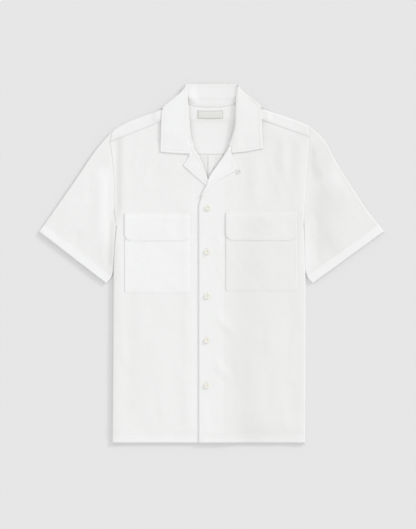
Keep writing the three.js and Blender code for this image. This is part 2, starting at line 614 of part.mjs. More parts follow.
// Flattened tube of a sleeve, open at the hem and at the armhole
function makeSleeve(side) {
  const stationsAlong = 11;
  const across = ARMHOLE_STEPS;
  const under = ARMHOLE_STEPS;
  const arc = 3;
  const edgeFade = 20;
  const upper = smoothCurve(SLEEVE_EDGES[side].upper, stationsAlong - 1);
  const lower = smoothCurve(SLEEVE_EDGES[side].lower, stationsAlong - 1);
  const out = side === 'left' ? 1 : -1;
  const armhole = ARMHOLE[side];
  const stations = upper.map((a, s) => {
    const b = lower[s];
    const width = Math.hypot(b.x - a.x, b.y - a.y);
    const fade = (1 - s / (stationsAlong - 1)) ** 3;
    const spot = (distance) => {
      const f = distance / width;
      const x = mix(a.x, b.x, f);
      const y = mix(a.y, b.y, f);
      const straight = mix(upper[0].x, lower[0].x, f);
      const seamY = mix(upper[0].y, lower[0].y, f);
      const bulge = edgeX(armhole, seamY) - straight;
      return { x: x + (bulge + (out * SEAM_GAP) / 2) * fade, y };
    };
    const hem = s === stationsAlong - 1 ? 0.4 * HEM_EXTRA : 0;
    const radius = SIDE_HEIGHT / 2;
    const topAt = (distance) => {
      const p = spot(distance);
      const away = Math.min(distance, width - distance);
      return SIDE_HEIGHT + hem + foldHeight(SLEEVE_FOLDS, p.x, p.y) * smooth(away / edgeFade);
    };
    const outer = [];
    const inner = [];
    const put = (distance, z, innerDistance, innerZ) => {
      const p = spot(distance);
      const q = spot(innerDistance);
      outer.push(new THREE.Vector3(p.x, p.y, z));
      inner.push(new THREE.Vector3(q.x, q.y, innerZ));
    };
    for (let k = 0; k <= across; k += 1) {
      const distance = mix(radius, width - radius, k / across);
      const z = topAt(distance);
      put(distance, z, distance, z - CLOTH);
    }
    for (let k = 1; k <= arc; k += 1) {
      const angle = Math.PI / 2 - (Math.PI * k) / (arc + 1);
      const hollow = radius - CLOTH;
      put(width - radius + radius * Math.cos(angle), radius + radius * Math.sin(angle),
        width - radius + hollow * Math.cos(angle), radius + hollow * Math.sin(angle));
    }
    for (let k = 0; k <= under; k += 1) {
      const distance = mix(width - radius, radius, k / under);
      put(distance, 0, distance, CLOTH);
    }
    for (let k = 1; k <= arc; k += 1) {
      const angle = -Math.PI / 2 - (Math.PI * k) / (arc + 1);
      const hollow = radius - CLOTH;
      put(radius + radius * Math.cos(angle), radius + radius * Math.sin(angle),
        radius + hollow * Math.cos(angle), radius + hollow * Math.sin(angle));
    }
    return [...outer, ...inner];
  });
  return loft(stations, true);
}

// Rectangle with rounded lower corners
function patchOutline({ x1, x2, y1, y2 }, corner) {
  const steps = 4;
  const outline = [{ x: x1, y: y2 }];
  for (let k = 0; k <= steps; k += 1) {
    const angle = Math.PI + (Math.PI / 2) * (k / steps);
    outline.push({ x: x1 + corner + corner * Math.cos(angle), y: y1 + corner + corner * Math.sin(angle) });
  }
  for (let k = 0; k <= steps; k += 1) {
    const angle = -Math.PI / 2 + (Math.PI / 2) * (k / steps);
    outline.push({ x: x2 - corner + corner * Math.cos(angle), y: y1 + corner + corner * Math.sin(angle) });
  }
  outline.push({ x: x2, y: y2 });
  return outline;
}

// Pocket and flap lie on the front's own grid, moved out by whole layers
function makePatch(side, place, corner, layers) {
  const low = side === 'left' ? leftFrontLow : frontLow;
  return panel(patchOutline(place, corner), (x, y) => low(x, y) + layers * LAYER);
}

function makeButton(place) {
  const body = new THREE.LatheGeometry(BUTTON_SECTION.map(({ r, z }) => new THREE.Vector2(r, z)), 14);
  body.rotateX(Math.PI / 2);
  const z = leftFrontLow(place.x, place.y) + LAYER;
  return solidOf(body).translate([place.x, place.y, z]);
}

function makeLoop() {
  const ring = new THREE.TorusGeometry(LOOP.radius, LOOP.cord, 6, 16);
  const z = leftFrontLow(LOOP.x, LOOP.y) + LAYER + LOOP.cord + LOOP.clear;
  return solidOf(ring).translate([LOOP.x, LOOP.y, z]);
}

function makeLabel() {
  const { x1, x2, y1, y2, bow, thickness } = LABEL;
  const steps = 6;
  const outline = [{ x: x1, y: y1 }, { x: x2, y: y1 }];
  for (let k = 0; k <= steps; k += 1) {
    const f = k / steps;
    outline.push({ x: mix(x2, x1, f), y: y2 + bow * 4 * f * (1 - f) });
  }
  return panel(outline, () => COLLAR_TUCK + LAYER, () => thickness, GRID.label);
}

// Turns a solid into a named mesh
function piece(name, body, look) {
  const { vertProperties, triVerts, numProp } = body.getMesh();
  const positions = new Float32Array(triVerts.length * 3);
  triVerts.forEach((vertex, i) => {
    for (let axis = 0; axis < 3; axis += 1) positions[3 * i + axis] = vertProperties[numProp * vertex + axis];
  });
  const geometry = new THREE.BufferGeometry();
  geometry.setAttribute('position', new THREE.BufferAttribute(positions, 3));
  geometry.computeVertexNormals();
  const mesh = new THREE.Mesh(geometry, new THREE.MeshStandardMaterial(look));
  mesh.name = name;
  return mesh;
}

const shirt = new THREE.Group();
shirt.add(piece('back', makeBack(), LINEN));
shirt.add(piece('yoke', makeYoke(), LINEN));
shirt.add(piece('collar', makeCollar(), LINEN));
for (const side of ['right', 'left']) {
  shirt.add(piece(`front_${side}`, makeFront(side), LINEN));
  shirt.add(piece(`sleeve_${side}`, makeSleeve(side), LINEN));
  shirt.add(piece(`pocket_${side}`, makePatch(side, POCKETS[side], POCKET_CORNER, 1), LINEN));
  shirt.add(piece(`flap_${side}`, makePatch(side, FLAPS[side], FLAP_CORNER, 2), LINEN));
}
BUTTON_PLACES.forEach((place, i) => shirt.add(piece(`button_${i + 1}`, makeButton(place), BUTTON_SHELL)));
shirt.add(piece('button_loop', makeLoop(), LINEN));
shirt.add(piece('label', makeLabel(), LABEL_TAPE));

export default shirt;
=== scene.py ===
import json
import math
import bmesh
import bpy
import numpy as np
from mathutils import Matrix, Vector
from mathutils.bvhtree import BVHTree

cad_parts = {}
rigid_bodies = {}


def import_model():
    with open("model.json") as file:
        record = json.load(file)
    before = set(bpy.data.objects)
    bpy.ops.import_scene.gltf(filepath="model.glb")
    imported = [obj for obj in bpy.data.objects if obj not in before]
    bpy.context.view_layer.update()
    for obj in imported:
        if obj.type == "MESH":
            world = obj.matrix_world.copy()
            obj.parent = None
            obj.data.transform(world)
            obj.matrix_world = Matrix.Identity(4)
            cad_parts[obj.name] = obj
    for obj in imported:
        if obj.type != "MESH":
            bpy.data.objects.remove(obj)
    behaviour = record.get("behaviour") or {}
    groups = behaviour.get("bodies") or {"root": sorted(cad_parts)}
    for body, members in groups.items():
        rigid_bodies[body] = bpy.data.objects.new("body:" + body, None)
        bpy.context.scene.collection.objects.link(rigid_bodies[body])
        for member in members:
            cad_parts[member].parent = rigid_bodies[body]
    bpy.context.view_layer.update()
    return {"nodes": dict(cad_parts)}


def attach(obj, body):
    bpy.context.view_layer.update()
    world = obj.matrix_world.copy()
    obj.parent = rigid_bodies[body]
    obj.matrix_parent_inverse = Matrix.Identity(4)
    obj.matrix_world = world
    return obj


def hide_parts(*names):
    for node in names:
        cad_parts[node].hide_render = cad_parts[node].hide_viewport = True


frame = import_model()

# Camp shirt laid flat, front up. Tables are in millimetres, meshes are made in metres.
mm = 0.001
cloth = 1.2       # wall of the frame's solids
layer = 1.5       # one layer of cloth and the gap to the next
shell = 0.7       # cloth as it shows
hemY = -376.9
hemDepth = 20.5
backSeamY = 228
collarTopY = 376.9
underlapX = 10.7
overlapX = -27.5
outward = {"right": -1, "left": 1}  # sign of x on each side

armhole = {
    "right": [(-209, 278), (-214, 253), (-208, 220), (-205.6, 184), (-204.5, 104), (-200, 79)],
    "left": [(204.8, 288.8), (205.5, 257), (203, 220), (198, 165), (194.5, 104), (194, 84)],
}
sideEdge = {
    "right": [(-199.7, 79), (-204.3, 28), (-206, -10), (-206, -60), (-208.3, hemY)],
    "left": [(193.7, 84), (195.2, 40), (197, -18), (197.6, -56), (196.4, hemY)],
}
shoulder = {
    "right": [(-57, 341), (-106, 322.5), (-177, 296), (-209, 278)],
    "left": [(60, 341), (100, 325), (118, 320.5), (184, 297.5), (204.8, 288.8)],
}
neckSeam = {
    "right": [(-61, 318), (-59, 280), (-51, 249), (-41, 240)],
    "left": [(62.5, 318), (60, 280), (51, 256), (40, 248)],
}
lapelRoll = {
    "right": [(-39.4, 253), (-35, 240), (-27.3, 228), (-18, 207), (-9.4, 182), (-3.5, 166)],
    "left": [(36.4, 246), (30, 233), (13, 208), (-4.8, 181.6), (-11.6, 163), (-23, 142.5)],
}


def smooth(t):
    t = np.clip(t, 0, 1)
    return t * t * (3 - 2 * t)


def mix(a, b, t):
    return a + (b - a) * t


def steps(count):  # even steps from 0 to 1
    return np.linspace(0, 1, count)


def pairs(x, y):  # points from their x and y
    return np.stack(np.broadcast_arrays(x, y), axis=-1)


def beside(*grids):
    return np.concatenate(grids, axis=1)


def joined(*parts):  # grids of x, y and z, each joined side by side
    return [beside(*grids) for grids in zip(*parts)]


def column(points, z):  # one column of a grid
    return points[:, :1], points[:, 1:], np.broadcast_to(z, len(points))[:, None]


def tableX(points, y):  # x of a table of edge points, top to bottom
    ys = [p[1] for p in reversed(points)]
    xs = [p[0] for p in reversed(points)]
    return np.interp(y, ys, xs)


def bodyX(side, y):
    return tableX(armhole[side][:-1] + sideEdge[side], y)


def curve(points, count):  # centripetal Catmull-Rom through the points, evenly spaced
    p = np.array(points, float)
    p = np.vstack([2 * p[0] - p[1], p, 2 * p[-1] - p[-2]])
    fine = []
    for i in range(1, len(p) - 2):
        a, b, c, d = p[i - 1:i + 3]
        t1 = math.sqrt(np.linalg.norm(b - a))
        t2 = t1 + math.sqrt(np.linalg.norm(c - b))
        t3 = t2 + math.sqrt(np.linalg.norm(d - c))
        t = np.linspace(t1, t2, 40, endpoint=(i == len(p) - 3))[:, None]
        ab = mix(a, b, t / t1)
        bc = mix(b, c, (t - t1) / (t2 - t1))
        cd = mix(c, d, (t - t2) / (t3 - t2))
        abc = mix(ab, bc, t / t2)
        bcd = mix(bc, cd, (t - t1) / (t3 - t1))
        fine.append(mix(abc, bcd, (t - t1) / (t2 - t1)))
    return spaced(np.vstack(fine), count)


def lengths(line):  # how far along a polyline each of its points is
    return np.concatenate([[0], np.cumsum(np.linalg.norm(np.diff(line, axis=0), axis=1))])


def spaced(line, count):  # a polyline again, with evenly spaced points
    line = np.array(line, float)
    along = lengths(line)
    at = np.linspace(0, along[-1], count)
    return pairs(*(np.interp(at, along, line[:, k]) for k in range(2)))


def knots(table, t):  # rows of (t, x, y), linear between them
    table = np.array(table, float)
    return pairs(*(np.interp(t, table[:, 0], table[:, k]) for k in (1, 2)))


def distanceTo(path, x, y):  # distance from places to a polyline
    path = np.array(path, float)
    best = np.full(np.shape(x), 1e9)
    for a, b in zip(path[:-1], path[1:]):
        d = b - a
        t = np.clip(((x - a[0]) * d[0] + (y - a[1]) * d[1]) / max(float(d @ d), 1e-9), 0, 1)
        best = np.minimum(best, np.hypot(x - a[0] - t * d[0], y - a[1] - t * d[1]))
    return best


# Folds: a line from (x1, y1) to (x2, y2), bowed sideways, half-width w, height h
frontFolds = [
    (-196, 262, -197.5, 108, 0, 7, -1.1), (-100, 222, -128, 172, 0, 14, -.6), (-52, 128, -52, -350, 0, 9, .5),
    (-170, -40, -176, -330, 0, 18, -.7), (-118, -120, -100, -340, 0, 26, .8), (170, 258, 167, 172, 0, 10, -1),
    (92, 226, 88, 128, 0, 15, 1.3), (134, 262, 120, 130, 0, 16, -.8), (150, 268, 148, 190, 0, 10, .9),
    (8, -116, 44, -140, 0, 11, .8), (6, -212, 40, -236, 0, 12, .8), (66, -130, 98, -350, 0, 24, .9),
    (168, -80, 172, -340, 0, 18, -.7),
]
sleeveFolds = [
    (-228, 190, -226, 50, 0, 12, 1), (-250, 200, -262, 60, 0, 16, -.7), (-284, 70, -276, 36, 0, 12, -.8),
    (226, 220, 244, 20, 0, 17, -1), (246, 205, 290, 70, 0, 18, 1), (213, 228, 222, 190, 0, 7, .8),
    (-211, 92, -214, -8, 0, 6, -1.1), (216, 110, 222, -6, 0, 9, -.7),
]


def foldHeight(table, x, y):
    height = np.zeros(np.shape(x))
    for x1, y1, x2, y2, bow, w, h in table:
        dx, dy = x2 - x1, y2 - y1
        length = math.hypot(dx, dy)
        along = ((x - x1) * dx + (y - y1) * dy) / length
        across = ((x - x1) * dy - (y - y1) * dx) / length
        s = np.clip(along / length, 0, 1)
        across = across - bow * 4 * s * (1 - s)
        end = smooth((along + w) / (3 * w)) * smooth((length + w - along) / (3 * w))
        height = height + h * end * np.exp(-((across / w) ** 2))
    return height


def tuck(x, y):  # 1 over the hidden back leaf of the collar
    return smooth((y - 294) / 12) * smooth((128 - np.abs(x - 0.5)) / 12)


def backLow(x, y):
    return layer * tuck(x, y)


def frontTop(x, y):  # the frame's upper face of fronts and yoke strips
    toEdge = np.maximum(np.minimum(x - bodyX("right", y), bodyX("left", y) - x), 0)
    lie = 2.6 + 1.2 * np.exp(-((toEdge / 26) ** 2)) + foldHeight(frontFolds, x, y)
    lie = lie - 1.1 * smooth((hemY + 30 - y) / 30)
    return np.maximum(lie, 1.8) + 1.3 * layer * tuck(x, y) + cloth


def frontSurface(side, x, y):
    z = frontTop(x, y)
    if side == "left":
        z = z + 1.6 * smooth((72 - x) / 62) - 0.45 * smooth((overlapX + 8 - x) / 8)
    return z + fineCreases(x, y)


# Small creases of the cloth, listed one by one: seen in the photo on the fronts and sleeves, similar below
handCreases = [
    (-150, 236, -163, 196, 3, 5, .5), (-132, 205, -150, 168, -3, 6, .4), (-78, 196, -96, 160, 2, 6, .35),
    (118, 224, 126, 176, -3, 6, .5), (72, 196, 80, 152, 2, 7, -.4), (140, 176, 150, 128, 2, 6, .4),
    (12, -104, 52, -150, 4, 6, .45), (10, -122, 34, -148, 2, 4, -.3), (8, -196, 46, -248, 5, 7, .4),
    (6, -226, 30, -254, 2, 4, -.3), (14, -2, 30, -34, 3, 5, .35), (2, 62, 22, 40, -2, 5, .3),
    (-60, -96, -48, -150, 3, 8, .35), (-74, -210, -58, -280, -4, 9, .4), (-140, -90, -150, -170, 4, 10, .35),
    (-186, -120, -180, -220, 3, 7, .45), (-120, -268, -106, -352, 3, 9, -.35), (52, -176, 66, -262, 4, 9, .4),
    (108, -90, 122, -190, -4, 10, .35), (126, -230, 118, -330, 4, 9, -.4), (176, -130, 168, -250, 3, 8, .4),
    (150, -290, 162, -356, 2, 7, .35), (-18, -300, -6, -352, 2, 6, .3), (186, 60, 182, -20, 2, 6, .4),
    (-196, 60, -190, -30, 2, 6, .4), (-238, 196, -252, 150, 3, 7, .5), (-262, 172, -284, 112, -4, 8, .45),
    (-222, 66, -230, 8, 2, 6, .5), (-300, 96, -322, 70, 2, 8, .4), (-276, 62, -290, 30, 2, 6, -.35),
    (-212, 226, -219, 180, 2, 5, .45), (232, 214, 240, 150, 3, 7, .5), (262, 176, 288, 118, -4, 9, .45),
    (214, 96, 222, 40, 2, 7, .5), (300, 112, 318, 78, 2, 8, .4), (240, 60, 262, 10, 3, 8, -.4),
    (214, 250, 226, 214, 2, 5, .5), (66, 292, 74, 256, 2, 7, .35), (-72, 296, -80, 262, 2, 7, .3),
]


def crumple(x, y, seed, size, height):  # slow uneven waves, the same on each run
    rng = np.random.default_rng(seed)
    z = np.zeros(np.shape(x))
    for _ in range(18):
        angle = rng.uniform(0, math.pi)
        wave = size * rng.uniform(0.6, 2.2)
        phase = rng.uniform(0, 2 * math.pi, 2)
        u = x * math.cos(angle) + y * math.sin(angle)
        v = y * math.cos(angle) - x * math.sin(angle)
        bend = 1.6 * np.sin(2 * math.pi * v / (2.7 * wave) + phase[1])
        z = z + np.sin(2 * math.pi * u / wave + phase[0] + bend)
    return height * z / 4.2


def fineCreases(x, y):
    return foldHeight(handCreases, x, y) + crumple(x, y, 3, 46, 0.16) + crumple(x, y, 8, 17, 0.05)


class Wires:  # a socket that can be used in sums; other nodes come from node()
    def __init__(self, tree, socket):
        self.tree = tree
        self.socket = socket

    def maths(self, operation, *values):
        return node(self.tree, "ShaderNodeMath", {"operation": operation}, values)

    def __add__(self, other):
        return self.maths("ADD", self, other)

    def __sub__(self, other):
        return self.maths("SUBTRACT", self, other)

    def __rsub__(self, other):
        return self.maths("SUBTRACT", other, self)

    def __mul__(self, other):
        return self.maths("MULTIPLY", self, other)

    __radd__ = __add__
    __rmul__ = __mul__

    def __abs__(self):
        return self.maths("ABSOLUTE", self)

    def sine(self, factor):
        return self.maths("SINE", self * factor)

    def out(self, k):  # another output of the same node
        return Wires(self.tree, self.socket.node.outputs[k])


def node(tree, kind, settings=None, values=(), out=0):
    made = tree.nodes.new(kind)
    for name, value in (settings or {}).items():
        setattr(made, name, value)
    inputs = values.items() if isinstance(values, dict) else enumerate(values)
    for key, value in inputs:
        if isinstance(value, Wires):
            tree.links.new(value.socket, made.inputs[key])
        else:
            made.inputs[key].default_value = value
    return Wires(tree, made.outputs[out]) if len(made.outputs) else None


def newTree(name):  # a material, its empty tree and the place on the object
    material = bpy.data.materials.new(name)
    material.use_nodes = True
    tree = material.node_tree
    tree.nodes.clear()
    return material, tree, node(tree, "ShaderNodeTexCoord", out=3)


def blend(tree, factor, a, b, kind="MIX"):
    return node(tree, "ShaderNodeMix", {"data_type": "RGBA", "blend_type": kind},
                {"Factor": factor, "A": a, "B": b}, out=2)


def bumped(tree, height, strength, depth):
    return node(tree, "ShaderNodeBump", {}, {"Height": height, "Strength": strength, "Distance": depth * mm})


def ramp(tree, value, zeroAt, oneAt):
    return node(tree, "ShaderNodeMapRange", {"interpolation_type": "SMOOTHSTEP"},
                {"Value": value, "From Min": zeroAt, "From Max": oneAt})


def surface(tree, looks):
    shader = node(tree, "ShaderNodeBsdfPrincipled", {}, looks)
    node(tree, "ShaderNodeOutputMaterial", {}, {"Surface": shader})


linenLook = {
    "sheerAndPaintedShade": (0.700, 0.702, 0.678, 1),     # the dull end: one sheer layer with the shade below showing through, and where painted shade is laid
    "white": (0.905, 0.915, 0.908, 1),     # several layers
    "paintedGrooveShade": (0.86, 0.86, 0.85, 1), "grooveReach": 1.7, "slubTone": 0.062, "cloudTone": 0.082,
    "threadPitch": 0.62 * mm, "roughness": 0.92,
}


def makeLinen(name, grain=0, look=linenLook):
    material, tree, place = newTree(name)
    turned = node(tree, "ShaderNodeMapping", {}, {"Vector": place, "Rotation": (0, 0, grain)})
    u = node(tree, "ShaderNodeSeparateXYZ", {}, [turned])
    v = u.out(1)

    def stretched(sx, sy, detail=2):
        at = node(tree, "ShaderNodeMapping", {}, {"Vector": turned, "Scale": (sx, sy, 90)})
        return node(tree, "ShaderNodeTexNoise", {},
                    {"Vector": at, "Scale": 1, "Detail": detail, "Roughness": 0.55})

    slub = stretched(1500, 46) + stretched(46, 1500) - 1
    cloud = stretched(55, 55, 3) - 0.5
    wobble = (stretched(160, 160) - 0.5) * (0.9 * look["threadPitch"])
    turns = math.pi / look["threadPitch"]
    cross = (u + wobble).sine(turns) * (v + wobble).sine(turns)
    seams = node(tree, "ShaderNodeAttribute", {"attribute_name": "seams"}, out=1)
    channels = node(tree, "ShaderNodeSeparateXYZ", {}, [seams])
    groove = ramp(tree, abs(channels), look["grooveReach"], 0)
    for k in (1, 2):
        groove = groove.maths("MAXIMUM", groove, ramp(tree, abs(channels.out(k)), look["grooveReach"], 0))
    pucker = (stretched(420, 420, 1) - 0.5) * groove
    # painted shade and painted highlight: the per-point tone below holds the layers of cloth together with
    # shade and light laid into the colour
    layers = node(tree, "ShaderNodeAttribute", {"attribute_name": "layers"}, out=2)
    whiteness = layers + slub * look["slubTone"] + cloud * look["cloudTone"]
    colour = blend(tree, whiteness, look["sheerAndPaintedShade"], look["white"])
    height = cross * 0.035 + slub * 0.10 - groove * 0.16 + pucker * 0.22 + cloud * 0.5
    # painted shade: the colour is darkened in the grooves along seams and rows of stitches
    surface(tree, {
        "Base Color": blend(tree, groove * 0.2, colour, look["paintedGrooveShade"], "MULTIPLY"),
        "Roughness": cloud * 0.08 + look["roughness"], "Normal": bumped(tree, height, 0.55, 0.5),
        "Specular IOR Level": 0.18, "Sheen Weight": 0.12, "Sheen Roughness": 0.5,
    })
    return material


def plainMaterial(name, colour, roughness, speckle=0.03, scale=900, specular=0.4):
    material, tree, place = newTree(name)
    grain = node(tree, "ShaderNodeTexNoise", {}, {"Vector": place, "Scale": scale, "Detail": 3})
    dark = tuple(c * (1 - speckle * 3) for c in colour[:3]) + (1,)
    surface(tree, {
        "Base Color": blend(tree, grain, dark, colour), "Roughness": (grain - 0.5) * 0.1 + roughness,
        "Normal": bumped(tree, grain, 0.3, 0.05), "Specular IOR Level": specular,
    })
    return material


# One patch of cloth: a grid of outer points with what the material needs at each
class Patch:
    def __init__(self, x, y, z, seams=(), layers=0.0, under=False):
        self.x, self.y, self.z = (np.array(a, float) for a in (x, y, z))
        self.points = np.stack([self.x, self.y, self.z], axis=-1)
        self.under = under
        far = np.full(self.x.shape, 50.0)
        self.seams = [np.broadcast_to(s, self.x.shape) for s in list(seams) + [far] * (3 - len(seams))]
        self.layers = np.broadcast_to(np.array(layers, float), self.x.shape)

    def turned(self):  # whether the cloth's outer side looks the wrong way at its highest part
        p = self.points
        du = p[:-1, 1:] - p[:-1, :-1]
        dv = p[1:, :-1] - p[:-1, :-1]
        up = du[..., 0] * dv[..., 1] - du[..., 1] * dv[..., 0]
        z = self.z[:-1, :-1]
        high = z >= z.min() + 0.7 * (z.max() - z.min())
        return (up[high].sum() < 0) != self.under

    def steepness(self):  # 0 where the cloth lies flat, 1 where it stands upright
        normal = np.cross(np.gradient(self.points, axis=1), np.gradient(self.points, axis=0))
        return 1 - np.abs(normal[..., 2]) / np.maximum(np.linalg.norm(normal, axis=-1), 1e-9)


# How white the cloth looks: x, y, reach and change of places that are duller or brighter in the photo; partly
# one sheer layer showing what lies below, partly painted shade and painted highlight
paintedShadeAndSheerPlaces = [
    (72, -190, 44, 210, -0.3), (150, 210, 60, 60, -0.05), (258, 170, 50, 70, -0.12),
    (-160, 60, 60, 200, 0.04), (20, 300, 60, 50, -0.10), (-4, 208, 22, 26, 0.35), (95, 79, 30, 22, -0.25),
    (80, 0, 42, 60, -0.12), (-280, 150, 60, 60, 0.06), (-70, 290, 30, 40, 0.05),
]


# Painted shade and painted highlight, the same along lines, as rows of folds: sleeves and armholes, edges,
# hem, shoulder, collar and lapel; darker where the cloth turns from the key light, lighter where it turns to
# it
paintedLightAndShadeLines = [
    (-195, 272, -196, 92, 0, 8, -.62), (-205, 240, -205, 110, 0, 5, .3), (-212, 88, -215, -8, 0, 6, -.45),
    (-226, 205, -229, 40, 0, 9, .5), (-205, -60, -206, 60, 0, 3, -.2), (214, 252, 223, 168, 0, 9, -.55),
    (225, 165, 236, 20, 0, 15, -.5), (246, 60, 262, 0, 0, 22, -.3), (250, 205, 262, 150, 0, 14, .4),
    (196, 262, 192, 110, 0, 11, .3), (198, 90, 202, -18, 0, 9, .3), (-24, 120, -24, -372, 0, 5, .1),
    (40, 250, 66, 330, 0, 16, -.12), (-56, 378, 58, 378, 0, 6, -.85), (59, 371, 104, 331, 0, 5, -.95),
    (-52, 374, -47, 300, 0, 4, -.3), (-47, 300, -41, 254, 0, 4, -.4), (-40, 250, -6.5, 179, 0, 4, -.55),
    (40, -345, 150, -368, 0, 34, -.3), (118, 300, 190, 272, 0, 16, .25), (-180, -60, -170, -340, 0, 26, -.12),
]


def whitenessWithPaintedShadeAt(x, y, doubled, steep):
    # painted light: lighter towards negative x and darker towards positive x; 0.24 more for each extra layer;
    # painted shade and highlight along the tone lines
    white = mix(0.58, 0.42, smooth((x + 30) / 150)) + 0.24 * doubled + foldHeight(paintedLightAndShadeLines, x, y)
    for cx, cy, rx, ry, change in paintedShadeAndSheerPlaces:
        white = white + change * np.exp(-(((x - cx) / rx) ** 2) - ((y - cy) / ry) ** 2)
    # painted shade near the lower body's edge at negative x, painted highlight near its edge at positive x
    low = smooth((60 - y) / 50)
    white = white - 0.35 * low * np.exp(-(((x - bodyX("right", y)) / 13) ** 2))
    white = white + 0.15 * low * np.exp(-(((x - bodyX("left", y)) / 13) ** 2))
    # painted shade where the cloth stands steep at folds and edges
    return np.clip(0.488 + 0.512 * white - 0.34 * smooth((steep - 0.03) / 0.5), 0.02, 0.98)


def placed(name, mesh, material, replaced=()):
    mesh.materials.append(material)
    piece = bpy.data.objects.new(name, mesh)
    bpy.context.collection.objects.link(piece)
    if replaced:
        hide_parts(*replaced)
    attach(piece, "root")
    return piece


def choose(*things):  # select only these, the last one active
    bpy.ops.object.select_all(action="DESELECT")
    for thing in things:
        thing.select_set(True)
    bpy.context.view_layer.objects.active = things[-1]


# One piece of cloth in place of the node that its name starts with
def makeCloth(name, patches, material, flat, thick=shell):
    points, faces, seams, layers = [], [], [], []
    for patch in patches:
        rows, columns = patch.x.shape
        start = len(points)
        points.extend(patch.points.reshape(-1, 3) * mm)
        seams.extend(np.stack(patch.seams, axis=-1).reshape(-1, 3))
        layers.extend(whitenessWithPaintedShadeAt(patch.x, patch.y, patch.layers, patch.steepness()).reshape(-1))
        turn = -1 if patch.turned() else 1
        for j in range(rows - 1):
            for i in range(columns - 1):
                a = start + j * columns + i
                faces.append((a, a + 1, a + columns + 1, a + columns)[::turn])
    mesh = bpy.data.meshes.new(name)
    mesh.from_pydata([tuple(p) for p in points], [], faces)
    attribute = mesh.attributes.new("seams", "FLOAT_VECTOR", "POINT")
    attribute.data.foreach_set("vector", np.array(seams, np.float32).reshape(-1))
    attribute = mesh.attributes.new("layers", "FLOAT", "POINT")
    attribute.data.foreach_set("value", np.array(layers, np.float32))
    work = bmesh.new()
    work.from_mesh(mesh)
    bmesh.ops.remove_doubles(work, verts=work.verts, dist=0.003 * mm)
    bmesh.ops.dissolve_degenerate(work, edges=work.edges, dist=0.01 * mm)
    area = sum(f.calc_area() for f in work.faces)
    work.to_mesh(mesh)
    work.free()
    piece = placed(name, mesh, material, [name.rsplit("_", 1)[0]])
    choose(piece)
    bpy.ops.object.shade_smooth()
    wall = piece.modifiers.new("wall", "SOLIDIFY")
    wall.thickness = thick * mm
    wall.offset = -1
    bpy.ops.object.modifier_apply(modifier=wall.name)
    flat[0] * mm
    flat[1] * mm
    min(area, flat[0] * flat[1] * mm * mm)
    print(name, len(mesh.polygons), "faces", round(area, 4), "m2")
    return piece


def grid(a, b, columns):  # straight rows between two lines of points
    t = steps(columns)[None, :]
    return mix(a[:, :1], b[:, :1], t), mix(a[:, 1:], b[:, 1:], t)


# Half-round fold: columns that run from the lower layer round the edge to the upper one
def foldColumns(edge, inward, low, high, reach=None):
    radius = (high - low) / 2
    centre = (high + low) / 2
    angle = np.linspace(-math.pi / 2, math.pi / 2, 11)[None, :]
    reach = radius if reach is None else np.broadcast_to(reach, radius.shape)
    distance = np.where(angle > 0, reach[:, None], np.minimum(reach, radius)[:, None]) * (1 - np.cos(angle))
    x = edge[:, :1] + inward[:, :1] * distance
    y = edge[:, 1:] + inward[:, 1:] * distance
    z = centre[:, None] + radius[:, None] * np.sin(angle)
    return x, y, z


def inwardOf(path, sign):
    d = np.gradient(path, axis=0)
    d = d / np.linalg.norm(d, axis=1)[:, None]
    return pairs(-d[:, 1], d[:, 0]) * sign


print("tables ready")

frontPlan = {
    "seam": {"right": [(-61, 317), (-213.2, 256)], "left": [(62.5, 317), (205.1, 267)]},
    "closing": {"right": (underlapX, 140), "left": (overlapX, 122)},
    "sideRadius": 2.5, "sideReturn": 13, "runOut": 8, "columns": 70, "rowStep": 3.6, "levelY": 60,
    "facing": 54, "flat": {"right": (260, 700), "left": (270, 700)},
}
lapelPlan = {
    "right": [(0, -42.6, 228.7), (0.32, -59.8, 205.8), (0.86, -12, 164), (1, -6, 159)],
    "left": [
        (0, 43.5, 230.3), (0.28, 53.5, 198.5), (0.4, 43, 190.5), (0.65, 15, 175), (0.82, 0, 163),
        (1, -18, 146),
    ],
    "lift": 1.5, "freeLift": {"right": 1.15, "left": 0.8}, "stitch": 6.5,
}


def frontEdges(side):
    x, top = frontPlan["closing"][side]
    points = [(x, hemY), (x, top)]
    for x, y in reversed(lapelRoll[side]):
        points.append((x + outward[side] * 1.6, y - 0.8))
    for x, y in reversed(neckSeam[side]):
        if y > points[-1][1] + 1:
            points.append((x, y))
    points[-1] = frontPlan["seam"][side][0]
    return points, frontPlan["seam"][side]


# The collar and the lapel turn over one roll line; both take their part of the same fold
def rollArcs(side, part):
    path = curve(collarPlan["roll"][side] + lapelRoll[side], 110)
    along = lengths(path)
    gorge = int(np.argmin(np.linalg.norm(path - np.array(lapelRoll[side][0]), axis=1)))
    past = along - along[gorge]
    inward = inwardOf(path, outward[side])
    x, y = (path + inward * 2).T
    toLapel = smooth((past + 16) / 30)
    low = mix(standTop(x, y), frontSurface(side, x, y), toLapel) - shell
    high = mix(leafTop(side, x, y), frontSurface(side, x, y) + lapelPlan["lift"], toLapel)
    room = distanceTo(curve(collarPlan["fold"][side], 40), path[:, 0], path[:, 1])
    reach = np.minimum(mix(6.5, 2.0, smooth(past / 60)), 0.3 + 0.42 * room)
    columns = foldColumns(path, inward, low, high, reach=reach)
    rows = slice(gorge, None) if part == "lapel" else slice(0, gorge + 1)
    return [a[rows] for a in columns] + [path[rows], inward[rows], low[rows]]


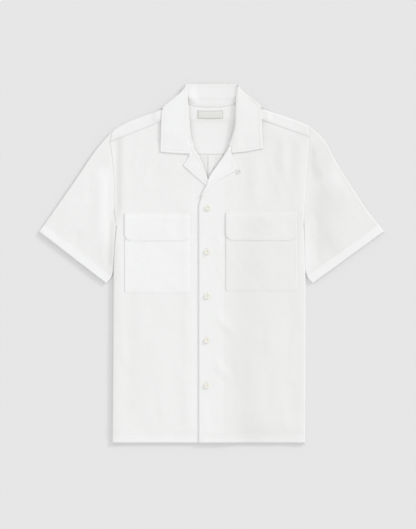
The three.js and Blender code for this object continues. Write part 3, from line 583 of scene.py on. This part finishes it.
def makeFront(side, material):
    plan = frontPlan
    sign = outward[side]
    innerPoints, top = frontEdges(side)
    innerX, innerY = zip(*innerPoints)
    level = plan["levelY"]
    below = np.linspace(hemY, level, int((level - hemY) / plan["rowStep"]))
    count = int((top[0][1] - level) / plan["rowStep"])
    yi, yo = (np.concatenate([below, np.linspace(level, end[1], count)[1:]]) for end in top)
    turn = sideEdge[side][0][1] - 1
    edge = bodyX(side, yo)
    # the side fold runs out into the armhole seam
    inset = mix(plan["sideRadius"], 0.1, smooth((yo - turn) / plan["runOut"]))
    x, y = grid(pairs(np.interp(yi, innerY, innerX), yi), pairs(edge - sign * inset, yo), plan["columns"])
    hem = y - hemY - hemDepth
    z = frontSurface(side, x, y) + 0.35 * smooth(-hem / 0.8)
    closing = x - overlapX if side == "left" else underlapX - x
    doubled = np.maximum(0.7 * smooth((plan["facing"] - closing) / 3), 0.8 * smooth(-hem / 3))
    patches = [Patch(x, y, z, [hem, distanceTo(top, x, y) - 1.8], doubled)]

    # the side turns under the body in a soft fold
    rows = np.where(yo < turn + plan["runOut"])[0]
    ex, ey, inset, half = edge[rows, None], yo[rows, None], inset[rows, None], z[rows, -1:] / 2
    angle = np.linspace(math.pi / 2, -math.pi / 2, 11)[None, :]
    foldX = ex - sign * inset * (1 - np.cos(angle) ** 0.45)
    wrapX = beside(foldX, ex - sign * mix(inset, plan["sideReturn"], steps(4)[None, 1:]))
    wrapZ = beside(half + half * np.sin(angle), np.zeros((len(rows), 3)))
    wrapY = np.repeat(ey, wrapX.shape[1], axis=1)
    wrapHem = wrapY - hemY - hemDepth
    patches.append(Patch(wrapX, wrapY, wrapZ, [wrapHem], 0.55 * smooth(-wrapHem / 3)))

    # lapel, folded back along its roll line
    fx, fy, fz, roll, inward, low = rollArcs(side, "lapel")
    free = knots(lapelPlan[side], steps(len(roll)))
    lx, ly = grid(pairs(fx[:, -1], fy[:, -1]), free, 26)
    lift = mix(lapelPlan["lift"], lapelPlan["freeLift"][side], smooth(steps(26)[None, :] * 1.6))
    lz = frontSurface(side, lx, ly) + lift
    lz[:, 0] = fz[:, -1]
    lz[:, 1] = mix(fz[:, -1], lz[:, 2], 0.45)
    tail = pairs(fx[:, 0], fy[:, 0]) + inward * 3
    x, y, z = joined(column(tail, low + 0.1), (fx, fy, fz), (lx[:, 1:], ly[:, 1:], lz[:, 1:]))
    patches.append(Patch(x, y, z, [distanceTo(free, x, y) - lapelPlan["stitch"]], 1.0))
    return makeCloth(f"front_{side}_cloth", patches, material, plan["flat"][side])


sleevePlan = {
    "right": {
        "upper": [(-209, 278), (-242.6, 238.5), (-286, 175), (-330, 112), (-362.2, 66.5)],
        "lower": [(-200.1, 79), (-204.2, 28), (-206.1, -6), (-207.3, -20), (-212, -31), (-220.9, -41.5)],
        "grain": math.radians(-36),
    },
    "left": {
        "upper": [(204.8, 288.8), (236, 259), (259.5, 217), (285, 175), (326.6, 112), (362.2, 67)],
        "lower": [(193.8, 84), (194.8, 40), (195.7, 5), (197.2, -17), (203.5, -32), (212, -41.5)],
        "grain": math.radians(36),
    },
    "height": 5, "hemDrop": 1.5, "rows": 72, "across": 58, "flat": (455, 290),
}


def makeSleeve(side, material):
    plan = sleevePlan[side]
    rows, height = sleevePlan["rows"], sleevePlan["height"]
    upper, lower = curve(plan["upper"], rows), curve(plan["lower"], rows)
    out = outward[side]
    s = steps(rows)[:, None]
    fade = (1 - s) ** 3
    width = np.linalg.norm(lower - upper, axis=1)[:, None]
    radius = height / 2

    def spot(distance):
        f = distance / width
        x, y = mix(upper[:, :1], lower[:, :1], f), mix(upper[:, 1:], lower[:, 1:], f)
        straight, seamY = mix(upper[0, 0], lower[0, 0], f), mix(upper[0, 1], lower[0, 1], f)
        return x + (tableX(armhole[side], seamY) - straight) * fade + out * 0.15 * fade, y

    flatTop = mix(radius, width - radius, steps(sleevePlan["across"])[None, :])
    angles = np.linspace(math.pi / 2, -math.pi / 2, 12)[None, 1:-1]
    lowerFold = width - radius + radius * np.cos(angles) ** 0.35
    flatLow = mix(width - radius, radius, steps(24)[None, :])
    upperFold = np.repeat(radius - radius * np.cos(angles), rows, axis=0)
    x, y = spot(beside(flatTop, lowerFold, flatLow, upperFold, flatTop[:, :1]))
    tx, ty = spot(flatTop)
    away = smooth(np.minimum(flatTop, width - flatTop) / 20)
    hemEnd = [plan["upper"][-1], plan["lower"][-1]]
    drop = sleevePlan["hemDrop"] * smooth(s * 2 - 1)
    topZ = height - drop + (foldHeight(sleeveFolds, tx, ty) + fineCreases(tx, ty)) * away
    topZ = topZ + 0.35 * smooth((hemDepth - distanceTo(hemEnd, tx, ty)) / 0.8) * away
    half = radius - drop / 2
    under = 0.35 * np.maximum(foldHeight(handCreases, *spot(flatLow)), 0)
    z = beside(topZ, half * (1 + np.sin(angles)), under, half * (1 - np.sin(angles)), topZ[:, :1])
    # the seam allowance of the crown goes in under the front
    over = smooth(z[:1] / height)
    x = np.vstack([x[:1] - out * 1.8 * over, x])
    y = np.vstack([y[:1], y])
    z = np.vstack([z[:1] - over, z])
    hem = distanceTo(hemEnd, x, y) - hemDepth
    seamY = np.linspace(upper[0, 1], lower[0, 1], 30)
    crown = distanceTo(pairs(tableX(armhole[side], seamY), seamY), x, y) - 1.2
    tube = Patch(x, y, z, [hem, crown], 1.7 * smooth(-hem / 3))
    return makeCloth(f"sleeve_{side}_cloth", [tube], material, sleevePlan["flat"])


collarPlan = {
    "roll": {
        "right": [(-52, 374), (-50, 350), (-47.5, 320), (-45, 285), (-40.5, 257)],
        "left": [(54.5, 374), (51, 350), (49.5, 320), (47.5, 285), (38, 252)],
    },
    "fold": {
        "right": [(-53.5, collarTopY), (-61, 364), (-78, 348.5), (-93, 337), (-104.5, 326)],
        "left": [(55.7, collarTopY), (63, 364.5), (85, 348), (96, 339), (105, 329)],
    },
    "outer": {
        "right": [(-104.5, 326), (-106, 290), (-108, 234)],
        "left": [(105, 329), (106, 290), (108.5, 241)],
    },
    "lower": {
        "right": [(-108, 234), (-76, 231), (-43.3, 229.6)],
        "left": [(108.5, 241), (76, 235), (43, 231.2)],
    },
    "neck": [(-60, 346), (-42, 333.6), (0, 329.8), (42, 334.2), (62, 349)],
    "rollTop": {"right": 7.2, "left": 8.5},
    "backLeafY": 306, "bandRows": (343.4, 347.2), "stitch": 6.5, "flat": (470, 130),
}


def standTop(x, y):
    sideRise = np.where(x > 1, 1.7, 3.2) * smooth((np.abs(x - 1) - 24) / 24)
    topRise = 1.9 * np.exp(-(((collarTopY - y) / 22) ** 2))
    return 1.8 + np.hypot(sideRise, topRise) + cloth


def leafTop(side, x, y):
    lies = frontSurface(side, x, y) - fineCreases(x, y) + layer
    rest = lies + np.maximum(7.1 - lies, 0) * smooth((y - 236) / 40)
    near = np.exp(-((distanceTo(curve(collarPlan["roll"][side], 40), x, y) / 21) ** 2))
    gorge = smooth(1 - distanceTo([collarPlan["lower"][side][-1], lapelRoll[side][0]], x, y) / 26)
    return mix(mix(rest, collarPlan["rollTop"][side], near), lies + 0.2, gorge)


def coons(bottom, top, left, right):  # a patch between four lines; left and right run from bottom to top
    u = steps(len(bottom))[None, :, None]
    v = steps(len(left))[:, None, None]
    rulesV = mix(bottom[None], top[None], v)
    rulesU = mix(left[:, None], right[:, None], u)
    corners = mix(mix(bottom[0], bottom[-1], u), mix(top[0], top[-1], u), v)
    p = rulesV + rulesU - corners
    return p[..., 0], p[..., 1]


def makeCollar(material):
    plan = collarPlan
    stitch = plan["stitch"]
    patches = []
    for side, sign in outward.items():
        fx, fy, fz, roll, inward, low = (a[::-1] for a in rollArcs(side, "collar"))
        tangent = pairs(fx[:, -1], fy[:, -1])
        gorge = mix(np.array(plan["lower"][side][-1]), tangent[0], steps(12)[:, None])
        gorge[:, 0] -= sign * 0.9 * np.sin(math.pi * np.linspace(0.12, 1, 12))
        innerLine = np.vstack([gorge[:-1], tangent])
        slant = curve(plan["fold"][side], 34)
        slantIn = inwardOf(slant, -sign)
        slantHigh = leafTop(side, *(slant + slantIn * 3).T)
        reach = np.minimum(3.6, 0.3 + 0.42 * distanceTo(roll, *slant.T))
        sx, sy, sz = foldColumns(slant, slantIn, np.zeros(len(slant)), slantHigh, reach=reach)
        topLine = pairs(sx[:, -1], sy[:, -1])
        topLine[0] = innerLine[-1]
        corner = topLine[-1] + [sign * 2.6, -4.5]
        outerLine = spaced([topLine[-1], corner] + plan["outer"][side][1:], len(innerLine))[::-1]
        bottomLine = spaced(plan["lower"][side], len(topLine))[::-1]
        bottomLine[0] = innerLine[0]
        x, y = coons(bottomLine, topLine, innerLine, outerLine)
        z = leafTop(side, x, y) + fineCreases(x, y) * 0.7
        z[11:, 0] = fz[:, -1]
        z[11:, 1] = mix(fz[:, -1], z[11:, 2], 0.5)
        z[-1] = sz[:, -1]
        z[-2] = mix(sz[:, -1], z[-3], 0.5)
        freeEdge = plan["outer"][side] + plan["lower"][side]
        tail = roll + inward * np.minimum(14, 0.6 * distanceTo(plan["fold"][side], *roll.T))[:, None]
        wx, wy, wz = joined(column(slant + slantIn * 9, 0.25), (sx, sy, sz))
        patches += [
            Patch(x, y, z, [distanceTo(freeEdge, x, y) - stitch], 1.0),
            Patch(*joined(column(tail, low + 0.2), (fx, fy, fz)), [], 1.0),
            Patch(wx, wy, wz, [distanceTo(freeEdge, wx, wy) - stitch], 1.0),
        ]

    # inner band behind the neck, its top fold and the back leaf on the floor
    columns = 60
    across = np.linspace(-54.5, 56.5, columns)
    topPath = pairs(np.linspace(-53.5, 55.7, columns), collarTopY)
    inward = np.tile([[0.0, -1.0]], (columns, 1))
    high = standTop(topPath[:, 0], topPath[:, 1] - 3)
    tx, ty, tz = foldColumns(topPath, inward, np.zeros(columns), high, reach=4.5)
    neck = curve(plan["neck"], 40)
    bottom = pairs(across, np.interp(across, *curve(plan["neck"], 60).T) - 1.9)
    bx, by = grid(pairs(tx[:, -1], ty[:, -1]), bottom, 18)
    sink = smooth(1 - distanceTo(neck, bx, by) / 13)
    bz = mix(standTop(bx, by), 2.5, sink) + fineCreases(bx, by) * 0.5 * (1 - sink)
    bz[:, 0] = tz[:, -1]
    bandTail = (tx[:, :1], ty[:, :1] - 5, np.full((columns, 1), 0.25))
    x, y, z = joined(bandTail, (tx, ty, tz), (bx[:, 1:], by[:, 1:], bz[:, 1:]))
    patches.append(Patch(x, y, z, [distanceTo(neck, x, y) - 3] + [y - row for row in plan["bandRows"]], 1.0))
    ys = np.linspace(plan["backLeafY"], collarTopY - 3.4, 30)
    edges = []
    for side, sign in outward.items():
        line = (np.array(plan["fold"][side]) - [sign * 3.4, 3.4])[::-1]
        edges.append(pairs(np.interp(ys, line[:, 1], line[:, 0]), ys))
    px, py = grid(*edges, 50)
    patches.append(Patch(px, py, np.zeros(px.shape), [py - plan["backLeafY"] - stitch], 1.0, True))
    return makeCloth("collar_cloth", patches, material, plan["flat"])


yokePlan = {"flat": (430, 190), "neck": [(-57, 339), (-42, 332.5), (0, 328.8), (42, 333), (60, 339)]}


def makeYoke(material):
    patches = []
    rows = 60
    for side, sign in outward.items():
        fold = curve(shoulder[side], rows)
        inward = inwardOf(fold, -sign)
        seam = spaced(frontPlan["seam"][side], rows) + inward * 1.4
        low = backLow(*(fold + inward * 3).T)
        high = frontTop(*(fold + inward * 2.5).T)
        fx, fy, fz = foldColumns(fold, inward, low, high)
        sx, sy = grid(pairs(fx[:, -1], fy[:, -1]), seam, 12)
        bow = tableX(armhole[side], sy[-1]) - sign * 0.4 - sx[-1]
        sx = sx + bow[None, :] * smooth(np.linspace(-9, 1, rows))[:, None]
        sz = frontTop(sx, sy) + fineCreases(sx, sy) + 0.3
        sz[:, 0] = fz[:, -1]
        tail = column(fold + inward * 7, low + 0.1)
        x, y, z = joined(tail, (fx, fy, fz), (sx[:, 1:], sy[:, 1:], sz[:, 1:]))
        patches.append(Patch(x, y, z, [distanceTo(seam, x, y) - 1.8], 0.5))
    columns = 90
    right, left = curve(shoulder["right"], 30)[::-1], curve(shoulder["left"], 30)
    right, left = (edge + inwardOf(edge, -1) * 2.4 for edge in (right, left))
    topLine = spaced(np.vstack([right[:-1], curve(yokePlan["neck"], 40), left[1:]]), columns)
    bottomX = mix(bodyX("right", backSeamY) + 0.3, bodyX("left", backSeamY) - 0.3, steps(columns))
    x, y = grid(pairs(bottomX, backSeamY), topLine, 30)
    patches.append(Patch(x, y, backLow(x, y), [y - backSeamY - 3, y - backSeamY - 9], 0.6, True))
    return makeCloth("yoke_cloth", patches, material, yokePlan["flat"], thick=0.8)


backPlan = {"cornerY": {"right": 78, "left": 83}, "return": 13.6, "pleat": (-7.4, 5.3), "flat": (430, 620)}


def makeBack(material):
    plan = backPlan
    ys = np.linspace(hemY, backSeamY, 120)
    edges = []
    for side, cornerY in plan["cornerY"].items():
        edges.append(pairs(bodyX(side, ys) - outward[side] * np.where(ys > cornerY, 0.3, plan["return"]), ys))
    x, y = grid(*edges, 80)
    creases = [(x1 + 60, y1 - 30, x2 + 40, y2 - 60, *rest) for x1, y1, x2, y2, *rest in handCreases]
    hem = y - hemY - hemDepth
    # The back is duller above y = 120 and along the pleat, where it shows only inside the neck: one sheer
    # layer, and painted shade in the neck's hollow
    white = mix(0.55 * smooth(-hem / 3), -1.9, smooth((y - 120) / 60))
    z = 0.3 * np.maximum(foldHeight(creases, x, y), 0)
    plate = Patch(x, y, z, [hem, backSeamY - y - 3], white, True)
    rows = np.linspace(60, 227, 50)
    x, y = grid(*(pairs(edge, rows) for edge in plan["pleat"]), 9)
    pleat = Patch(x, y, 1.75 - 0.5 * smooth((140 - y) / 80), [], -1.0)
    return makeCloth("back_cloth", [plate, pleat], material, plan["flat"], 1.1)


patchPlan = {
    "pocket_left": {"x": (29, 178.3), "y": (-57.7, 100), "white": 0},
    "pocket_right": {"x": (-183, -46.2), "y": (-61.5, 100), "white": 1},
    "flap_left": {"x": (29, 179.6), "y": (48.3, 107), "white": 0.3},
    "flap_right": {"x": (-183.2, -46.2), "y": (47.3, 105), "white": 1},
}
for name, plan in patchPlan.items():
    corner, lift, edge = (5, 0.6, 0.3) if name.startswith("pocket") else (16, 1.25, 1.1)
    plan.update(corner=corner, lift=lift, edge=edge)
patchThick = 0.4
patchStitch = 2
topStitch = 2.2


def patchBorder(plan, inset, points=9, below=1):  # down one side, round the corners and up the other side
    (x1, x2), (y1, y2), corner = plan["x"], plan["y"], plan["corner"]
    r = corner - inset
    arc = np.linspace(0, math.pi / 2, points)
    left = [(x1 + corner - r * math.cos(a), y1 + corner - r * math.sin(a)) for a in arc]
    right = [(x2 - corner + r * math.sin(a), y1 + corner - r * math.cos(a)) for a in arc]
    return [(x1 + inset, y2 - below)] + left + right + [(x2 - inset, y2 - below)]


def makePatch(name, material):
    plan = patchPlan[name]
    side = name.split("_")[1]
    (x1, x2), (y1, y2), corner = plan["x"], plan["y"], plan["corner"]
    arcRows = y1 + corner * (1 - np.cos(np.linspace(0, math.pi / 2, 12)))
    ys = np.concatenate([arcRows, np.linspace(y1 + corner, y2, int((y2 - y1 - corner) / 2.6))[1:]])
    inset = corner - np.sqrt(np.maximum(corner ** 2 - np.maximum(corner - (ys - y1), 0) ** 2, 0))
    inset[0] = corner
    x, y = grid(pairs(x1 + inset, ys), pairs(x2 - inset, ys), 54)
    toBorder = distanceTo(patchBorder(plan, 0, 10, 0), x, y)
    lift = mix(plan["edge"], plan["lift"], smooth(toBorder / 12))
    lift = mix(0.35, lift, smooth((y2 - y) / 8))
    z = frontSurface(side, x, y) + lift + 0.5 * crumple(x, y, 21 + len(name) + int(abs(x1)), 34, 0.2)
    piece = Patch(x, y, z, [y2 - y - topStitch], plan["white"])
    flat = (x2 - x1 + 1, y2 - y1 + 1)
    return makeCloth(f"{name}_cloth", [piece], material, flat, patchThick)


linen = makeLinen("linen")
sleeveLinen = {}
for side in ("left", "right"):
    sleeveLinen[side] = makeLinen(f"linen_sleeve_{side}", sleevePlan[side]["grain"])
makeBack(linen)
makeYoke(linen)
for name in ("right", "left"):
    makeFront(name, linen)
    makeSleeve(name, sleeveLinen[name])
makeCollar(linen)
for name in patchPlan:
    makePatch(name, linen)
print("cloth ready")


# Where a straight look down meets the cloth: height in millimetres and the piece that is met
depsgraph = bpy.context.evaluated_depsgraph_get()
clothPieces = [thing for thing in bpy.context.collection.objects if thing.name.endswith("_cloth")]
clothTrees = {thing.name: BVHTree.FromObject(thing, depsgraph) for thing in clothPieces}


def topAt(x, y):
    best = (0.0, None)
    for name, tree in clothTrees.items():
        spot = tree.ray_cast(Vector((x * mm, y * mm, 0.1)), Vector((0, 0, -1)))[0]
        if spot is not None and spot.z / mm > best[0]:
            best = (spot.z / mm, name)
    return best


def threadPiece(name, points, faces):
    mesh = bpy.data.meshes.new(name)
    mesh.from_pydata([tuple(c * mm for c in p) for p in points], [], faces)
    return placed(name, mesh, threadLook)


# Sewing: each stitch is a low ridge of thread on the cloth that its row belongs to
stitchPlan = {"pitch": 3.1, "length": 2.4, "width": 0.55, "height": 0.32, "ridge": 0.7, "sunk": 0.12}
stitchFaces = [(0, 3, 2, 1), (0, 1, 5, 4), (2, 3, 4, 5), (3, 0, 4), (1, 2, 5)]


def stitchRow(path, owner, points, faces, plan=stitchPlan):
    path = np.array(path, float)
    total = np.linalg.norm(np.diff(path, axis=0), axis=1).sum()
    count = max(2, int(total / plan["pitch"]))
    dense = spaced(path, 2 * count + 1)
    for k in range(count):
        before, here, after = dense[2 * k:2 * k + 3]
        along = after - before
        along = along / max(np.linalg.norm(along), 1e-9)
        across = np.array([-along[1], along[0]])
        half, side = plan["length"] / 2, plan["width"] / 2
        places = [(-half, -side), (half, -side), (half, side), (-half, side)]
        places += [(-half * plan["ridge"], 0), (half * plan["ridge"], 0)]
        spots = [here + along * u + across * v for u, v in places]
        heights = [topAt(*spot) for spot in spots]
        if any(name != owner for _, name in heights):
            continue
        raised = [-plan["sunk"]] * 4 + [plan["height"]] * 2
        start = len(points)
        points.extend((spot[0], spot[1], z + up) for spot, (z, _), up in zip(spots, heights, raised))
        faces.extend(tuple(start + i for i in face) for face in stitchFaces)


def insetLine(line, distance):  # a polyline moved sideways, its corners mitred; + is to its left
    line = np.array(line, float)
    d = np.diff(line, axis=0)
    d = d / np.linalg.norm(d, axis=1)[:, None]
    n = pairs(-d[:, 1], d[:, 0])
    moved = [line[0] + n[0] * distance]
    for k in range(1, len(line) - 1):
        bisector = n[k - 1] + n[k]
        moved.append(line[k] + bisector * 2 * distance / float(bisector @ bisector))
    moved.append(line[-1] + n[-1] * distance)
    return np.array(moved)


hemStitch = 19.0  # from a hem's edge to its row of stitches


def stitchRows():
    hemRow = hemY + hemStitch
    rows = [
        ("front_right_cloth", [(bodyX("right", hemRow) + 3, hemRow), (underlapX - 2, hemRow)]),
        ("front_left_cloth", [(overlapX + 1, hemRow), (bodyX("left", hemRow) - 3, hemRow)]),
        ("yoke_cloth", [(-80, backSeamY + 3), (80, backSeamY + 3)]),
    ]
    for y in collarPlan["bandRows"]:
        rows.append(("collar_cloth", [(-50, y), (52, y)]))
    rows.append(("collar_cloth", curve(insetLine(collarPlan["neck"], 3), 60)))
    for side, sign in outward.items():
        free = [(x, y) for _, x, y in lapelPlan[side]]
        leaf = collarPlan["outer"][side][:-1] + collarPlan["lower"][side]
        plan = sleevePlan[side]
        hemEnd = insetLine([plan["upper"][-1], plan["lower"][-1]], -sign * hemStitch)
        trim = (hemEnd[1] - hemEnd[0]) * 0.02
        rows += [
            (f"front_{side}_cloth", insetLine(free, -sign * lapelPlan["stitch"])),
            ("collar_cloth", insetLine(leaf, -sign * collarPlan["stitch"])),
            ("yoke_cloth", insetLine(frontPlan["seam"][side], sign * 3)),
            (f"sleeve_{side}_cloth", [hemEnd[0] + trim, hemEnd[1] - trim]),
        ]
    for name, plan in patchPlan.items():
        rows.append((f"{name}_cloth", patchBorder(plan, patchStitch)))
        if name.startswith("flap"):
            (x1, x2), top = plan["x"], plan["y"][1] - topStitch
            rows.append((f"{name}_cloth", [(x1 + 2, top), (x2 - 2, top)]))
    return rows


buttonLook = plainMaterial("button_shell", (0.93, 0.90, 0.82, 1), 0.28, speckle=0.02, scale=260,
                           specular=0.5)
threadLook = plainMaterial("thread", (0.88, 0.885, 0.872, 1), 0.8, speckle=0.03, scale=2600, specular=0.15)
sewn = {}
for owner, path in stitchRows():
    points, faces = sewn.setdefault(owner.replace("_cloth", "_stitches"), ([], []))
    stitchRow(path, owner, points, faces)
for name, (points, faces) in sewn.items():
    threadPiece(name, points, faces)
    print(name, len(faces) // len(stitchFaces), "stitches")

# Buttons: one is modelled at the origin, then copied to each place with its own mesh
buttonPlan = {
    "radius": 5.75, "height": 2.2, "bevel": 0.5, "rim": 1.25, "dish": 0.6, "hole": 0.62, "holeOut": 1.25,
    "above": 0.35, "sides": 48, "bar": 0.36, "stem": 1.5,
    "places": [(-7.2, 117), (-8.4, 25), (-8.4, -67.8), (-9.2, -160.7), (-9.2, -255.4)],
}
holePlan = {"length": 15, "width": 1.15, "pitch": 0.55}


def addCylinder(radius, depth, location, sides):
    bpy.ops.object.select_all(action="DESELECT")
    bpy.ops.mesh.primitive_cylinder_add(vertices=sides, radius=radius * mm, depth=depth * mm,
                                        location=[c * mm for c in location])
    bpy.ops.object.transform_apply(location=True, rotation=True, scale=True)
    return bpy.context.object


def selectFaces(thing, test):
    bpy.ops.object.mode_set(mode="EDIT")
    bpy.ops.mesh.select_mode(type="FACE")
    work = bmesh.from_edit_mesh(thing.data)
    for face in work.faces:
        face.select_set(bool(test(face)))
    bmesh.update_edit_mesh(thing.data)


def bevelEnds(thing, offset, segments=2):
    selectFaces(thing, lambda face: abs(face.normal.z) > 0.5)
    bpy.ops.mesh.bevel(offset=offset * mm, segments=segments, affect="EDGES", profile=0.5)
    bpy.ops.object.mode_set(mode="OBJECT")


def makeButton(plan=buttonPlan):
    button = addCylinder(plan["radius"], plan["height"], (0, 0, plan["height"] / 2), plan["sides"])
    bevelEnds(button, plan["bevel"], 3)
    selectFaces(button, lambda face: face.normal.z > 0.99 and len(face.verts) > 8)
    bpy.ops.mesh.inset(thickness=plan["rim"] * mm * 0.55)
    bpy.ops.mesh.inset(thickness=plan["rim"] * mm * 0.45)
    bpy.ops.transform.translate(value=(0, 0, -plan["dish"] * mm))
    bpy.ops.mesh.inset(thickness=0.35 * mm)
    bpy.ops.object.mode_set(mode="OBJECT")
    for k in range(4):
        angle = math.pi / 4 + k * math.pi / 2
        at = (plan["holeOut"] * math.cos(angle), plan["holeOut"] * math.sin(angle), 0)
        drill = addCylinder(plan["hole"], plan["height"] * 3, at, 16)
        bpy.context.view_layer.objects.active = button
        cut = button.modifiers.new("hole", "BOOLEAN")
        cut.object = drill
        cut.operation = "DIFFERENCE"
        bpy.ops.object.modifier_apply(modifier=cut.name)
        bpy.data.objects.remove(drill, do_unlink=True)
    choose(button)
    bpy.ops.object.shade_smooth_by_angle(angle=math.radians(40))
    return button


def makeShank(plan=buttonPlan):  # two bars of thread over the dish and a wound stem down to the cloth
    out = plan["holeOut"] / math.sqrt(2)
    bars = []
    for x in (-out, out):
        bar = addCylinder(plan["bar"], 2 * out + 0.5, (0, 0, 0), 10)
        bevelEnds(bar, 0.16)
        bar.rotation_euler = (math.pi / 2, 0, 0)
        bar.location = (x * mm, 0, (plan["height"] - plan["dish"] + 0.15) * mm)
        bpy.ops.object.transform_apply(location=True, rotation=True, scale=True)
        bars.append(bar)
    stem = addCylinder(plan["stem"], plan["above"] + 1.2, (0, 0, (0.6 - plan["above"]) / 2), 14)
    bevelEnds(stem, 0.2)
    choose(*bars, stem)
    bpy.ops.object.join()
    bpy.ops.object.shade_smooth_by_angle(angle=math.radians(40))
    return stem


def copiedTo(thing, name, place, material, replaced=()):
    mesh = thing.data.copy()
    mesh.transform(Matrix.Translation([c * mm for c in place]))
    mesh.materials.clear()
    return placed(name, mesh, material, replaced)


button = makeButton()
shank = makeShank()
for k, (x, y) in enumerate(buttonPlan["places"], 1):
    z = max(topAt(x + dx, y + dy)[0] for dx in (-4, 0, 4) for dy in (-4, 0, 4)) + buttonPlan["above"]
    copiedTo(button, f"button_{k}_shell", (x, y, z), buttonLook, [f"button_{k}"])
    copiedTo(shank, f"button_{k}_thread", (x, y, z), threadLook)
    points, faces = [], []
    bound = dict(stitchPlan, length=holePlan["width"], width=0.5, height=0.22, pitch=1.3)
    half = holePlan["length"] / 2
    for line in (x - 0.75, x + 0.75):
        for step in np.arange(-half, half + 0.01, holePlan["pitch"]):
            bar = [(line - 0.65, y + step), (line + 0.65, y + step)]
            stitchRow(bar, "front_left_cloth", points, faces, bound)
    threadPiece(f"buttonhole_{k}", points, faces)
for spare in (button, shank):
    bpy.data.objects.remove(spare, do_unlink=True)
print("buttons ready")

labelPlan = {
    "x": (-29.2, 24.2), "y": (304.5, 321.5), "bow": 1.2, "rise": 0.5, "thick": 0.4, "border": 1.7,
    "fill": (0.79, 0.79, 0.77, 1), "edge": (0.655, 0.655, 0.635, 1),
}


def makeTape(plan=labelPlan):
    material, tree, place = newTree("label_tape")
    seams = node(tree, "ShaderNodeAttribute", {"attribute_name": "seams"}, out=1)
    toEdge = node(tree, "ShaderNodeSeparateXYZ", {}, [seams])
    band = ramp(tree, toEdge, plan["border"] + 0.3, plan["border"] - 0.3)
    ribs = node(tree, "ShaderNodeSeparateXYZ", {}, [place]).out(1).sine(2 * math.pi / (0.55 * mm))
    grain = node(tree, "ShaderNodeTexNoise", {}, {"Vector": place, "Scale": 1400, "Detail": 2})
    colour = blend(tree, band, plan["fill"], plan["edge"])
    surface(tree, {
        "Base Color": blend(tree, grain * 0.25, colour, (0.82, 0.82, 0.80, 1), "MULTIPLY"), "Roughness": 0.75,
        "Normal": bumped(tree, ribs * 0.4 + grain, 0.4, 0.08), "Specular IOR Level": 0.2, "Sheen Weight": 0.1,
    })
    return material


def makeLabel(plan=labelPlan):
    (x1, x2), (y1, y2) = plan["x"], plan["y"]
    x, y = np.meshgrid(np.linspace(x1, x2, 54), np.linspace(y1, y2, 18))
    across = (x - (x1 + x2) / 2) / ((x2 - x1) / 2)
    y = y - plan["bow"] * (1 - across ** 2)
    border = np.minimum(np.minimum(x - x1, x2 - x), np.minimum(y - y.min(axis=0), y.max(axis=0) - y))
    under = np.array([[topAt(a, b)[0] for a, b in zip(*row)] for row in zip(x, y)])
    z = under + plan["thick"] + 0.05 + plan["rise"] * smooth(border / 5)
    tape = Patch(x, y, z, [border], 0.8)
    flat = (x2 - x1 + 0.6, y2 - y1 + 0.6)
    return makeCloth("label_tape", [tape], makeTape(), flat, plan["thick"])


makeLabel()
for name, thing in frame["nodes"].items():
    if not thing.hide_render and len(thing.data.materials):
        thing.data.materials[0] = threadLook
print("trims ready")

floorSize = 6
bpy.ops.object.select_all(action="DESELECT")
bpy.ops.mesh.primitive_plane_add(size=floorSize, location=(0, 0, -0.4 * mm))
floor = bpy.context.object
floor.name = "floor"
floorLook = plainMaterial("floor_paper", (0.80, 0.80, 0.80, 1), 0.95, speckle=0.001, scale=40,
                          specular=0.05)
floor.data.materials.append(floorLook)

# Even light all round and a soft low key from the upper right, as the shadows in the photo show
lightPlan = {"world": 0.872, "key": 1.24, "softness": math.radians(10), "elevation": math.radians(18.5),
             "bearing": math.radians(50)}
world = bpy.data.worlds.new("room")
bpy.context.scene.world = world
world.use_nodes = True
world.node_tree.nodes["Background"].inputs["Color"].default_value = (1, 1, 1, 1)
world.node_tree.nodes["Background"].inputs["Strength"].default_value = lightPlan["world"]
keyData = bpy.data.lights.new("key", "SUN")
keyData.energy = lightPlan["key"]
keyData.angle = lightPlan["softness"]
key = bpy.data.objects.new("key", keyData)
flatway = math.cos(lightPlan["elevation"])
toKey = Vector((flatway * math.sin(lightPlan["bearing"]), flatway * math.cos(lightPlan["bearing"]),
                math.sin(lightPlan["elevation"])))
key.location = toKey * 2
key.rotation_euler = (-toKey).to_track_quat("-Z", "Y").to_euler()
bpy.context.collection.objects.link(key)
bpy.context.scene.view_settings.view_transform = "Standard"

viewPlan = {
    "pixel": 2.1, "width": 416, "height": 529, "centreX": 211.5, "centreY": 263.5, "lens": 110, "sensor": 36,
}
cameraData = bpy.data.cameras.new("camera")
cameraData.lens = viewPlan["lens"]
cameraData.sensor_width = viewPlan["sensor"]
camera = bpy.data.objects.new("camera", cameraData)
halfHeight = viewPlan["height"] * viewPlan["pixel"] / 2
camera.location = (
    (viewPlan["width"] / 2 - viewPlan["centreX"]) * viewPlan["pixel"] * mm,
    (viewPlan["centreY"] - viewPlan["height"] / 2) * viewPlan["pixel"] * mm,
    halfHeight * mm * viewPlan["lens"] / (viewPlan["sensor"] / 2),
)
bpy.context.collection.objects.link(camera)
bpy.context.scene.camera = camera
print("stage ready")
